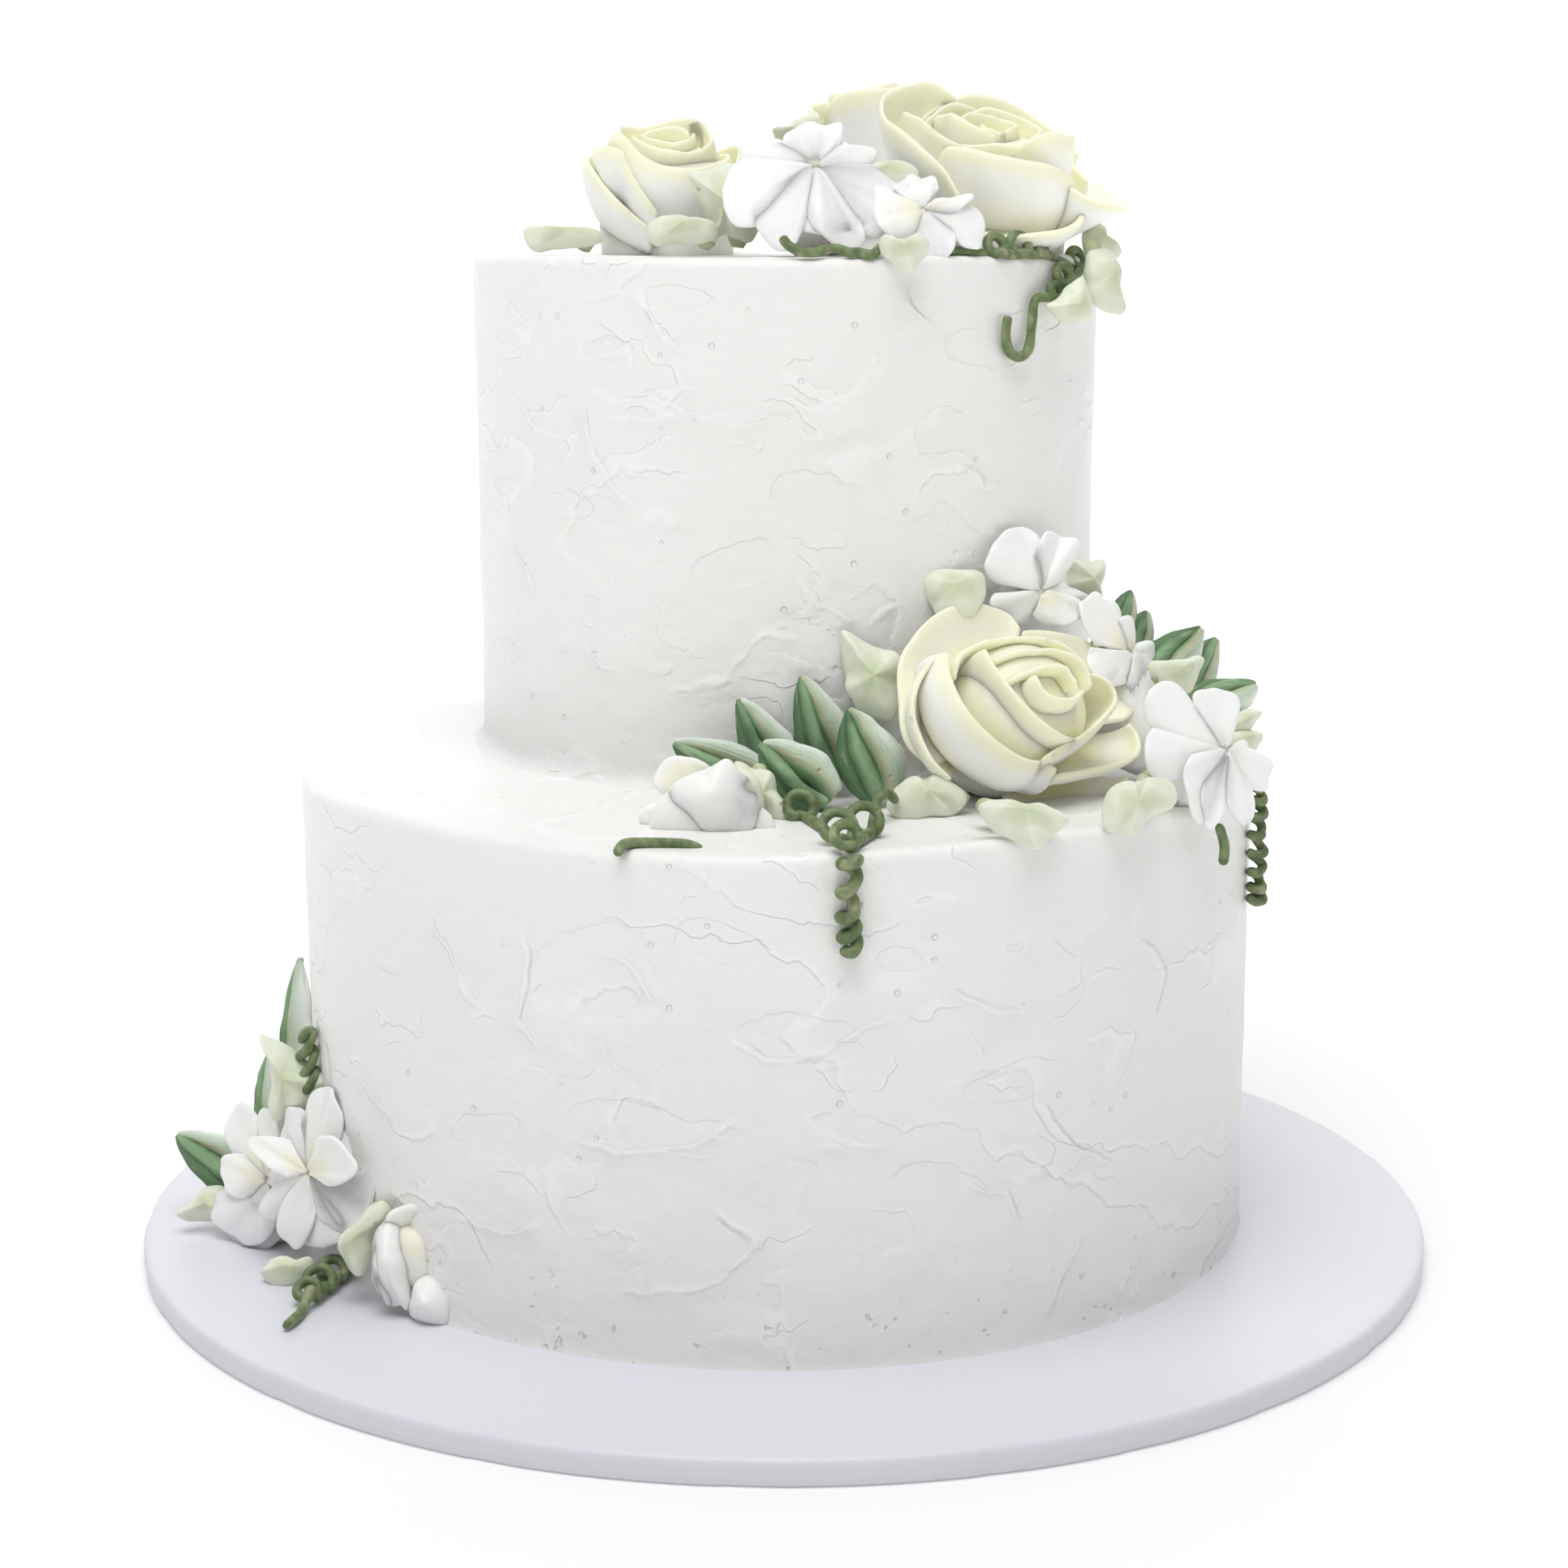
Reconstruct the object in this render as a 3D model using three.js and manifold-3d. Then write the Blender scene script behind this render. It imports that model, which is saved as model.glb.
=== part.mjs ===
// A two-tier wedding cake on its round board, dressed with piped buttercream flowers.
// Millimetres, +Z up. The origin is the centre of the board's underside, and the front faces -Y.
import * as THREE from 'three';
import { mergeVertices } from 'three/addons/utils/BufferGeometryUtils.js';
import Module from 'manifold-3d';

const wasm = await Module();
wasm.setup();

// ---- Driving dimensions ----

const GAP = 0.3; // clearance between neighbouring pieces
const WELD = 0.001; // corners closer than this are one

const BOARD = { radius: 152.4, thickness: 6, edgeRound: 1.2, steps: 48 };

const LOWER = {
  x: -1.5, y: 3, radius: 111, height: 109.2, rimRound: 2.2, rimWave: 1.3, footFlare: 0.6, steps: 48,
};
const UPPER = {
  x: 0.3, y: 29, radius: 73.5, height: 116.3, rimRound: 2, rimWave: 0.5, footFlare: 3, steps: 44,
};

const LEDGE_Z = BOARD.thickness + LOWER.height;
const TOP_Z = LEDGE_Z + UPPER.height;

const RIM_BAND = 7.5; // width of the band at a tier's rim that isn't level
const FOOT_FILLET = 2; // height of the icing fillet at a tier's foot
const WALL_LEAN = 0.3; // how much wider a tier is at its rim

const ROSE_TURN = -137.5; // degrees from one petal of a rose to the next
const PETAL_BASE = 1.5; // half thickness of a piped petal at its foot
const PETAL_RIM = 0.8; // half thickness of a petal just below its rim
const PETAL_BELLY = 1.02; // reach of a wrapped petal's belly, as a share of its reach
const CORNER_DROP = 0.2; // how much lower a wrapped petal's corners are than its middle
const INNER_SPAN = 160; // degrees that a rose's innermost petal wraps round
const OUTER_SPAN = 110; // degrees that its outermost petal wraps round
const BUD_SPAN = 325; // degrees that the rolled bud at its centre wraps round
const SWIRL = 0.07; // how much further out a petal's leading edge lies than its middle
const PETAL_START = 0.16; // where a blossom's petal starts, as a share of its length
const PETAL_FOOT = 0.24; // width of a blossom's petal at its start, as a share of its widest
const VINE_RADIUS = 1.3;
const TRAIL_RADIUS = 1.9; // the beaded trail that hangs from the ledge
const VINE_SIDES = 5;
const LOOP_STEPS = 8; // straight steps in one loop of a curled vine
const LOOP_LEAN = THREE.MathUtils.degToRad(50);

// ---- Colours of the buttercream and the board ----

const ICING = { color: 0xf6f4ee, roughness: 0.55 };
const BOARD_PAPER = { color: 0xe4e5ee, roughness: 0.6 };
const ROSE_CREAM = { color: 0xf3f2d4, roughness: 0.5 };
const BLOSSOM_WHITE = { color: 0xfbfaf6, roughness: 0.5 };
const LEAF_DARK = { color: 0x5f8f68, roughness: 0.55 };
const LEAF_PALE = { color: 0xcfdcb4, roughness: 0.55 };
const VINE_GREEN = { color: 0x5c7048, roughness: 0.55 };

// ---- Joining, cutting and placing ----

const cake = new THREE.Group();
const keepClear = [];

const radians = THREE.MathUtils.degToRad;
const lerp = THREE.MathUtils.lerp;
const vector = ([x, y, z]) => new THREE.Vector3(x, y, z);

// A closed three.js geometry as a solid that can be joined and cut.
function solidOf(geometry) {
  const bare = new THREE.BufferGeometry();
  bare.setAttribute('position', geometry.getAttribute('position'));
  bare.setIndex(geometry.index);
  const merged = mergeVertices(bare, WELD);
  const corners = merged.index.array;
  const kept = [];
  for (let i = 0; i < corners.length; i += 3) {
    const [a, b, c] = [corners[i], corners[i + 1], corners[i + 2]];
    if (a !== b && b !== c && c !== a) kept.push(a, b, c);
  }
  return new wasm.Manifold(new wasm.Mesh({
    numProp: 3,
    vertProperties: merged.attributes.position.array,
    triVerts: new Uint32Array(kept),
  }));
}

function geometryOf(solid) {
  const mesh = solid.getMesh();
  const geometry = new THREE.BufferGeometry();
  geometry.setAttribute('position', new THREE.BufferAttribute(mesh.vertProperties, 3));
  geometry.setIndex(new THREE.BufferAttribute(mesh.triVerts, 1));
  geometry.computeVertexNormals();
  return geometry;
}

function joined(solids) {
  return solids.reduce((whole, solid) => whole.add(solid));
}

// The largest body of a solid, without the scraps that a cut leaves.
function largest(solid) {
  return solid.decompose().reduce((best, body) => (body.volume() > best.volume() ? body : best));
}

function boxesMeet(a, b) {
  return [0, 1, 2].every((i) => a.min[i] <= b.max[i] && b.min[i] <= a.max[i]);
}

// The 20 directions of a block's edges and corners.
function bevelDirections() {
  const directions = [];
  for (const x of [-1, 0, 1]) {
    for (const y of [-1, 0, 1]) {
      for (const z of [-1, 0, 1]) {
        const axes = Math.abs(x) + Math.abs(y) + Math.abs(z);
        if (axes > 1) directions.push(new THREE.Vector3(x, y, z).normalize());
      }
    }
  }
  return directions;
}

// A bevelled block that wraps a solid with a gap all round, square to the given frame.
function wrapping(solid, frame) {
  const inverse = frame.clone().invert();
  const points = [];
  const corners = solid.getMesh().vertProperties;
  for (let i = 0; i < corners.length; i += 3) {
    points.push(new THREE.Vector3(corners[i], corners[i + 1], corners[i + 2]).applyMatrix4(inverse));
  }
  const box = new THREE.Box3().setFromPoints(points).expandByScalar(GAP);
  const size = box.getSize(new THREE.Vector3());
  const centre = box.getCenter(new THREE.Vector3());
  const reach = size.length();
  const block = new THREE.BoxGeometry(size.x, size.y, size.z).translate(centre.x, centre.y, centre.z);
  let wrap = solidOf(block.applyMatrix4(frame));
  for (const direction of bevelDirections()) {
    const height = Math.max(...points.map((point) => point.dot(direction))) + GAP;
    const shave = new THREE.BoxGeometry(4 * reach, 4 * reach, 2 * reach).translate(0, 0, reach);
    const turn = new THREE.Quaternion().setFromUnitVectors(new THREE.Vector3(0, 0, 1), direction);
    const along = centre.clone().addScaledVector(direction, height - centre.dot(direction));
    shave.applyMatrix4(new THREE.Matrix4().compose(along, turn, new THREE.Vector3(1, 1, 1)));
    wrap = wrap.subtract(solidOf(shave.applyMatrix4(frame)));
  }
  return wrap;
}

// Adds a named piece to the cake, cut clear of what was settled before it.
function settle(name, solid, finish, clearances) {
  const box = solid.boundingBox();
  let trimmed = solid;
  for (const other of keepClear) {
    if (boxesMeet(box, other.boundingBox())) trimmed = trimmed.subtract(other);
  }
  const body = largest(solidOf(geometryOf(largest(trimmed))));
  const mesh = new THREE.Mesh(geometryOf(body), new THREE.MeshStandardMaterial({ ...finish, metalness: 0 }));
  mesh.name = name;
  cake.add(mesh);
  keepClear.push(...clearances);
}

// A frame with its Z along a flower's axis, its X to the viewer's right and its Y upwards.
function flowerFrame(at, axis) {
  const z = vector(axis).normalize();
  const x = new THREE.Vector3(0, 0, 1).cross(z).normalize();
  const y = z.clone().cross(x);
  return new THREE.Matrix4().makeBasis(x, y, z).setPosition(...at);
}

// A frame with its Y from a leaf's foot to its tip and its Z out of the leaf's face.
function leafFrame(from, to, facing) {
  const y = vector(to).sub(vector(from)).normalize();
  const x = y.clone().cross(vector(facing)).normalize();
  const z = x.clone().cross(y);
  return new THREE.Matrix4().makeBasis(x, y, z).setPosition(...from);
}

// ---- Piped sheets: petals and leaves ----

// A closed sheet that is thick inside and thin at its rim. middle(u, v) gives its middle
// surface for u from -1 to 1 across and v from 0 to 1 along, and half(u, v) its half thickness.
function pipedSheet(across, along, middle, half) {
  const plane = new THREE.PlaneGeometry(2, 1, across, along);
  const flat = plane.getAttribute('position');
  const count = flat.count;
  const places = new Float32Array(count * 6);
  const nudge = 0.01;
  for (let i = 0; i < count; i += 1) {
    const u = flat.getX(i);
    const v = flat.getY(i) + 0.5;
    const point = middle(u, v);
    const [below, above] = [Math.max(v - nudge, 0), Math.min(v + nudge, 1)];
    const alongU = middle(u + nudge, v).sub(middle(u - nudge, v));
    const alongV = middle(u, above).sub(middle(u, below));
    const normal = alongU.cross(alongV).normalize();
    const onRim = Math.abs(u) > 0.999 || v < 0.001 || v > 0.999;
    const offset = onRim ? 0 : half(u, v);
    point.clone().addScaledVector(normal, offset).toArray(places, i * 3);
    point.clone().addScaledVector(normal, -offset).toArray(places, (count + i) * 3);
  }
  const upper = Array.from(plane.index.array);
  const lower = [];
  for (let i = 0; i < upper.length; i += 3) {
    lower.push(upper[i + 2] + count, upper[i + 1] + count, upper[i] + count);
  }
  const sheet = new THREE.BufferGeometry();
  sheet.setAttribute('position', new THREE.BufferAttribute(places, 3));
  sheet.setIndex([...upper, ...lower]);
  return sheet;
}

// The middle surface of a petal that wraps round a flower's axis. Its foot sits in the heart of
// the flower, its belly swells out, and its rim closes in or flares by `lean`.
function wrappedPetal({ turn, span, foot, reach, height, lean, spiral }) {
  const belly = reach * PETAL_BELLY;
  const rim = reach + lean;
  return (u, v) => {
    const w = 1 - v;
    const rimHeight = height * (1 - CORNER_DROP * u * u);
    const radius = w * w * foot + 2 * w * v * belly + v * v * rim;
    const lift = 2 * w * v * 0.42 * rimHeight + v * v * rimHeight;
    const angle = radians(turn + (u * span) / 2);
    const out = radius * (1 + spiral * u);
    return new THREE.Vector3(out * Math.cos(angle), out * Math.sin(angle), lift);
  };
}

function petalHalf(u, v) {
  return lerp(PETAL_BASE, PETAL_RIM, v) * (1 - 0.25 * u * u);
}

// The solid heart of a flower: a dome of the given radius and height on its base.
function heart(radius, height, steps) {
  const profile = [
    [0, 0], [radius * 0.8, 0], [radius, height * 0.3], [radius * 0.75, height * 0.7], [0, height],
  ];
  return solidOf(new THREE.LatheGeometry(profile.map(([r, h]) => new THREE.Vector2(r, h)), steps)
    .applyMatrix4(new THREE.Matrix4().makeRotationX(Math.PI / 2)));
}

// ---- Roses ----

// Each petal is set a golden turn from the last: the inner ones stand tall and close over the
// heart, and the outer ones are lower, wider and flared.
function rose({ petals, start, inner, outer, bud, tall, low, closed, flared }) {
  const parts = [heart(outer * 0.46, bud * 0.85, 8)];
  parts.push(solidOf(pipedSheet(7, 2, wrappedPetal({
    turn: start,
    span: BUD_SPAN,
    foot: inner * 0.3,
    reach: inner * 0.55,
    height: bud,
    lean: -inner * 0.12,
    spiral: SWIRL,
  }), petalHalf)));
  for (let k = 0; k < petals; k += 1) {
    const t = k / (petals - 1);
    parts.push(solidOf(pipedSheet(5, k < 3 ? 2 : 3, wrappedPetal({
      turn: start + k * ROSE_TURN,
      span: lerp(INNER_SPAN, OUTER_SPAN, t),
      foot: outer * 0.3,
      reach: lerp(inner, outer, t ** 0.9),
      height: lerp(tall, low, t ** 1.4),
      lean: lerp(-closed, flared, t),
      spiral: SWIRL,
    }), petalHalf)));
  }
  return joined(parts);
}

const ROSES = {
  rose_ledge: {
    at: [44, -43, 127], axis: [0.3, -0.8, 0.52], seat: [46, -47, LEDGE_Z], seatRadius: 14,
    petals: 8, start: 225, inner: 9, outer: 26, bud: 31, tall: 31, low: 17, closed: 2.5, flared: 2.5,
  },
  rose_top_large: {
    at: [48, 8, TOP_Z - 1], axis: [0.05, -0.22, 0.97],
    petals: 9, start: 215, inner: 10, outer: 27, bud: 31, tall: 39, low: 21, closed: 2, flared: 5,
  },
  rose_top_small: {
    at: [-30, 12, TOP_Z - 1], axis: [0.06, -0.2, 0.97],
    petals: 5, start: 240, inner: 9, outer: 20.5, bud: 30, tall: 32, low: 23, closed: 3, flared: -1,
  },
  rose_top_back: {
    at: [25, 47, TOP_Z - 1], axis: [-0.12, 0.05, 0.98],
    petals: 5, start: 200, inner: 9, outer: 17, bud: 32, tall: 41, low: 39, closed: 1, flared: 2,
  },
};

// ---- Blossoms and buds ----

// The middle surface of a blossom's petal: it falls away from the peak at the blossom's centre,
// and its sides fold up.
function openPetal({ turn, length, width, droop, fold, tip }) {
  const forward = radians(turn);
  return (u, v) => {
    const out = length * lerp(PETAL_START, 1, v);
    const spread = lerp(PETAL_FOOT, 1, Math.sin(0.75 * Math.PI * v)) - tip * v ** 3;
    const side = u * width * 0.5 * spread;
    const rise = -droop * v ** 1.2 + fold * u * u * Math.sin(Math.PI * v);
    return new THREE.Vector3(
      out * Math.cos(forward) - side * Math.sin(forward),
      out * Math.sin(forward) + side * Math.cos(forward),
      rise,
    );
  };
}

function blossom({ petals, spin, length, width, droop, fold, tip }) {
  const parts = [heart(length * 0.34, 2.5, 6).translate(0, 0, -1.5)];
  for (let k = 0; k < petals; k += 1) {
    const uneven = 1 + 0.12 * Math.sin(2.4 * k + 1);
    const petal = openPetal({
      turn: spin + (k * 360) / petals, length: length * uneven, width, droop, fold, tip,
    });
    parts.push(solidOf(pipedSheet(2, 2, petal, (u, v) => lerp(1.5, 0.9, v))));
  }
  return joined(parts);
}

const BLOSSOMS = {
  blossom_top_large: {
    at: [7, -23, 250], axis: [0.02, -0.68, 0.73], seat: [8, -8, TOP_Z], seatRadius: 12,
    petals: 7, spin: 95, length: 18, width: 16, droop: 5, fold: 1.5, tip: 0.1,
  },
  blossom_top_small: {
    at: [30, -31, 241], axis: [0.1, -0.75, 0.65], seat: [30, -22, TOP_Z], seatRadius: 8,
    petals: 5, spin: 60, length: 13, width: 11, droop: 3, fold: 2, tip: 0.6,
  },
  blossom_wall: {
    at: [57, -30, 158], axis: [0.35, -0.8, 0.3], seat: [49, -21, 154], seatRadius: 8,
    petals: 5, spin: 100, length: 14, width: 13, droop: 1, fold: 2.5, tip: 0.2,
  },
  blossom_behind_rose: {
    at: [77, -31, 144], axis: [0.55, -0.5, 0.6], seat: [80, -28, LEDGE_Z], seatRadius: 13,
    petals: 5, spin: 70, length: 12, width: 11, droop: 2, fold: 2.5, tip: 0.35,
  },
  blossom_ledge_right: {
    at: [94, -62, 128], axis: [0.5, -0.78, 0.35], seat: [83, -50, LEDGE_Z], seatRadius: 11,
    petals: 7, spin: 75, length: 16.5, width: 10, droop: 3, fold: 2.5, tip: 0.5,
  },
  blossom_base_left: {
    at: [-119, -32, 21], axis: [-0.45, -0.7, 0.45], seat: [-118, -25, BOARD.thickness], seatRadius: 11,
    petals: 6, spin: 100, length: 16, width: 14, droop: 1, fold: 2, tip: 0.05,
  },
  blossom_base_right: {
    at: [-106, -50, 29], axis: [-0.7, -0.65, 0.3], seat: [-97, -44, 25], seatRadius: 9,
    petals: 5, spin: 85, length: 16, width: 14, droop: 1, fold: 2, tip: 0.05,
  },
};

// A bud is a few tall petals wrapped round each other.
function bud({ petals, start, girth, length, closed }) {
  const parts = [heart(girth * 0.55, length * 0.75, 6)];
  for (let k = 0; k < petals; k += 1) {
    parts.push(solidOf(pipedSheet(4, 2, wrappedPetal({
      turn: start + k * ROSE_TURN,
      span: INNER_SPAN,
      foot: girth * 0.3,
      reach: girth * lerp(0.75, 1, k / petals),
      height: length * lerp(1, 0.88, k / petals),
      lean: -closed,
      spiral: SWIRL,
    }), petalHalf)));
  }
  return joined(parts);
}

const BUDS = {
  bud_ledge: {
    at: [-1, -75, 119], axis: [-0.8, -0.35, 0.3], petals: 4, start: 60, girth: 10.5, length: 27, closed: 2,
  },
  bud_base: {
    at: [-84, -73, 31], axis: [0.4, -0.5, -0.75], petals: 4, start: 30, girth: 10.5, length: 28, closed: 3,
  },
};

// ---- Leaves ----

// A leaf's middle surface: a ridge down the middle, a valley on each side and a pointed tip.
function leafBlade({ length, width, ridge, arch }) {
  return (u, v) => {
    const spread = Math.sin(Math.PI * (0.12 + 0.88 * v) ** 0.75) ** 0.8;
    const half = width * 0.5 * Math.max(spread, 0.05);
    const crest = ridge * (1 - Math.abs(u)) * Math.sin(Math.PI * v);
    const wave = 0.4 * Math.sin(9 * v) * u * u;
    return new THREE.Vector3(u * half, v * length, crest + arch * Math.sin(Math.PI * v) + wave);
  };
}

function leaf({ from, to, facing, width, plump, ridge, arch }) {
  const length = vector(to).distanceTo(vector(from));
  const blade = leafBlade({ length, width, ridge, arch });
  const sheet = pipedSheet(4, 3, blade, (u, v) => plump * (1 - 0.45 * v) * (1 - 0.35 * u * u));
  return solidOf(sheet.applyMatrix4(leafFrame(from, to, facing)));
}

const DARK_LEAF = { width: 11.5, plump: 1.9, ridge: 1.6, arch: 1.2 };
const PALE_LEAF = { width: 11, plump: 1.2, ridge: 1.4, arch: 1 };

const DARK_LEAVES = {
  leaf_dark_ledge_5: { from: [22, -59, 117], to: [14, -56, 136], facing: [0, -0.9, 0.4], width: 15 },
  leaf_dark_ledge_4: { from: [10, -63, 117], to: [-5, -59, 129], facing: [-0.2, -0.8, 0.6], width: 14 },
  leaf_dark_ledge_3: { from: [12, -48, 119], to: [4, -49, 142], facing: [0, -0.9, 0.3], width: 13 },
  leaf_dark_ledge_2: { from: [2, -49, 117], to: [-10, -49, 137], facing: [-0.1, -0.9, 0.4], width: 12 },
  leaf_dark_ledge_1: { from: [-1, -54, 117], to: [-24, -53, 128], facing: [-0.1, -0.8, 0.6], width: 12 },
  leaf_dark_right_1: { from: [72, -20, 141], to: [80, -9, 155], facing: [0.5, -0.8, 0.2], width: 9 },
  leaf_dark_right_2: { from: [77, -20, 138], to: [83, -12, 151], facing: [0.5, -0.8, 0.3], width: 9 },
  leaf_dark_right_3: { from: [81, -25, 136], to: [95, -20, 148], facing: [0.1, -0.8, 0.6], width: 11 },
  leaf_dark_right_4: { from: [89, -23, 130], to: [99, -14, 145], facing: [0.5, -0.8, 0.3], width: 10 },
  leaf_dark_right_5: { from: [90, -34, 131], to: [106, -29, 137], facing: [0.1, -0.7, 0.7], width: 11 },
  leaf_dark_base_1: { from: [-115, -14, 40], to: [-114, -8, 68], facing: [-0.75, -0.6, 0.1], width: 10 },
  leaf_dark_base_2: { from: [-121, -18, 26], to: [-121, -12, 47], facing: [-0.7, -0.7, 0.1], width: 9 },
  leaf_dark_base_3: { from: [-126, -17, 15], to: [-144, -13, 26], facing: [-0.1, -0.8, 0.6], width: 12 },
};

const PALE_LEAVES = {
  leaf_top_1: { from: [-9, -15, 233], to: [-22, -15, 249], facing: [0, -0.9, 0.3], width: 15 },
  leaf_top_2: { from: [-15, -22, 234], to: [-29, -22, 238], facing: [0, -0.6, 0.8], width: 12 },
  leaf_top_3: { from: [-43, -2, 233.5], to: [-60, -4, 237], facing: [0, -0.6, 0.8], width: 10 },
  leaf_top_4: { from: [1, 2, 246], to: [-4, 2, 263], facing: [0, -0.9, 0.4], width: 13 },
  leaf_top_5: { from: [29, -20, 240], to: [18, -20, 250], facing: [0, -0.8, 0.6], width: 11 },
  leaf_top_6: { from: [25, -38, 239], to: [27, -48, 228.5], facing: [0.1, -0.7, 0.5], width: 12 },
  leaf_top_7: { from: [69, -8, 236], to: [76, -14, 218], facing: [0.7, -0.7, 0.3], width: 12 },
  leaf_top_8: { from: [67, -16, 227], to: [58, -25, 218], facing: [0.6, -0.75, 0.2], width: 12 },
  leaf_top_9: { from: [70, 8, 237], to: [81, 2, 231], facing: [0.5, -0.6, 0.6], width: 9 },
  leaf_ledge_1: { from: [26, -47, 132], to: [12, -48, 153], facing: [0, -0.9, 0.2], width: 17 },
  leaf_ledge_2: { from: [47, -37, 158], to: [31, -40, 163], facing: [-0.1, -0.8, 0.5], width: 12 },
  leaf_ledge_3: { from: [64, -19, 155], to: [74, -12, 162], facing: [0.3, -0.9, 0.2], width: 12 },
  leaf_ledge_4: { from: [81, -39, 140], to: [94, -36, 145], facing: [0.1, -0.7, 0.6], width: 9 },
  leaf_ledge_5: { from: [95, -40, 128], to: [108, -32, 132], facing: [0.2, -0.7, 0.6], width: 8 },
  leaf_ledge_6: { from: [95, -41, 121], to: [108, -34, 125], facing: [0.2, -0.7, 0.6], width: 8 },
  leaf_ledge_7: { from: [40, -67, 119], to: [22, -71, 119], facing: [0, -0.6, 0.8], width: 11 },
  leaf_ledge_8: { from: [40, -80, 120], to: [57, -88, 117], facing: [0.1, -0.7, 0.7], width: 12 },
  leaf_ledge_9: { from: [78, -68, 124], to: [71, -82, 114], facing: [0.1, -0.8, 0.5], width: 13 },
  leaf_ledge_10: { from: [-6, -64, 126], to: [1, -73, 117], facing: [-0.4, -0.8, 0.5], width: 8 },
  leaf_base_1: { from: [-110, -37, 37], to: [-122, -31, 56], facing: [-0.4, -0.9, 0.1], width: 13 },
  leaf_base_2: { from: [-127, -24, 12], to: [-144, -27, 10], facing: [-0.1, -0.6, 0.8], width: 11 },
  leaf_base_3: { from: [-107, -58, 11], to: [-120, -57, 8.5], facing: [0, -0.5, 0.85], width: 9 },
  leaf_base_4: { from: [-88, -68, 29], to: [-95, -73, 12], facing: [-0.5, -0.8, 0.2], width: 11 },
};

// ---- Vines ----

// One closed tube along a route of points.
function vine(route, radius) {
  const section = new THREE.Shape();
  for (let i = 0; i < VINE_SIDES; i += 1) {
    const angle = (i / VINE_SIDES) * 2 * Math.PI;
    const corner = [radius * Math.cos(angle), radius * Math.sin(angle)];
    if (i === 0) section.moveTo(...corner);
    else section.lineTo(...corner);
  }
  const extrudePath = new THREE.CatmullRomCurve3(route);
  const options = { extrudePath, steps: route.length - 1, bevelEnabled: false };
  return solidOf(new THREE.ExtrudeGeometry(section, options));
}

// What later pieces keep out of round a vine: short fat tubes, fused, past both of its ends.
function vineClearance(route, radius) {
  const long = drawnOut(route, GAP);
  const tubes = [];
  for (let i = 0; i + 1 < long.length; i += 2) tubes.push(vine(long.slice(i, i + 4), radius + 3 * GAP));
  return joined(tubes);
}

// The route with both ends drawn out.
function drawnOut(route, extra) {
  const [first, second] = route;
  const [last, nextToLast] = [route.at(-1), route.at(-2)];
  const before = first.clone().addScaledVector(first.clone().sub(second).normalize(), extra);
  const after = last.clone().addScaledVector(last.clone().sub(nextToLast).normalize(), extra);
  return [before, ...route, after];
}

// A route that lies in leaning loops, like a row of fallen rings, along its guide points.
function curls(guide, turns, loop, outward) {
  const line = new THREE.CatmullRomCurve3(guide.map(vector));
  const up = vector(outward).normalize();
  const steps = Math.round(turns * LOOP_STEPS);
  const route = [];
  for (let i = 0; i <= steps; i += 1) {
    const along = line.getTangentAt(i / steps);
    const side = up.clone().cross(along).normalize();
    const angle = (i / LOOP_STEPS) * 2 * Math.PI;
    const rise = Math.sin(LOOP_LEAN);
    route.push(line.getPointAt(i / steps)
      .addScaledVector(side, loop * Math.cos(angle))
      .addScaledVector(along, loop * Math.cos(LOOP_LEAN) * Math.sin(angle))
      .addScaledVector(up, loop * rise * (1 + Math.sin(angle))));
  }
  return route;
}

// A point on the wall of a tier, stood off it by the radius of a vine.
function onWall(tier, azimuth, height, standOff = VINE_RADIUS + GAP) {
  const angle = radians(azimuth);
  const radius = tier.radius + standOff;
  return [tier.x + radius * Math.cos(angle), tier.y + radius * Math.sin(angle), height];
}

function topVine() {
  const edge = (azimuth, inset, height) => onWall(UPPER, azimuth, height, -inset);
  const rest = TOP_Z + VINE_RADIUS + GAP;
  const wave = [
    edge(-90.5, 2, rest + 3), edge(-88, 2, rest + 0.6), edge(-84, 2.5, rest + 0.2), edge(-81, 1, rest + 0.2),
    edge(-77, 1, rest + 1), edge(-72, 2.5, rest), edge(-66, 1, rest), edge(-60, 2.5, rest + 0.3),
  ];
  const brink = [edge(-55, 3.5, rest), edge(-45, 3.5, rest), edge(-36, 2, rest)];
  const rim = curls(brink, 4, 2.8, [0.4, -0.5, 0.8]);
  const fall = curls([
    edge(-33, -1.5, rest - 1), onWall(UPPER, -34, TOP_Z - 3), onWall(UPPER, -39, TOP_Z - 9),
  ], 2, 2.3, [0.75, -0.6, 0.1]);
  const hook = [
    onWall(UPPER, -41.5, 219), onWall(UPPER, -41.5, 214), onWall(UPPER, -43, 210.5),
    onWall(UPPER, -45.5, 209.5), onWall(UPPER, -48, 212), onWall(UPPER, -48.5, 216),
    onWall(UPPER, -47.5, 219.5),
  ];
  return [...wave.map(vector), ...rim, ...fall, ...hook.map(vector)];
}

function ledgeCurls() {
  const rest = LEDGE_Z + VINE_RADIUS + GAP;
  return curls([[20, -78, rest], [9, -82, rest], [4, -91, rest], [12, -102, rest]], 4, 3, [0, -0.3, 0.95]);
}

function hangingTrail() {
  const [azimuth, swing, pitch] = [-82.6, 0.45, 2.4];
  const standOff = TRAIL_RADIUS + GAP;
  const beads = [onWall(LOWER, azimuth, LEDGE_Z + 1, standOff)];
  for (let k = 0; k <= 6; k += 1) {
    const turned = azimuth + (k % 2 ? swing : -swing);
    beads.push(onWall(LOWER, turned, LEDGE_Z - pitch * (k + 1), standOff));
  }
  return beads.map(vector);
}

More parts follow.
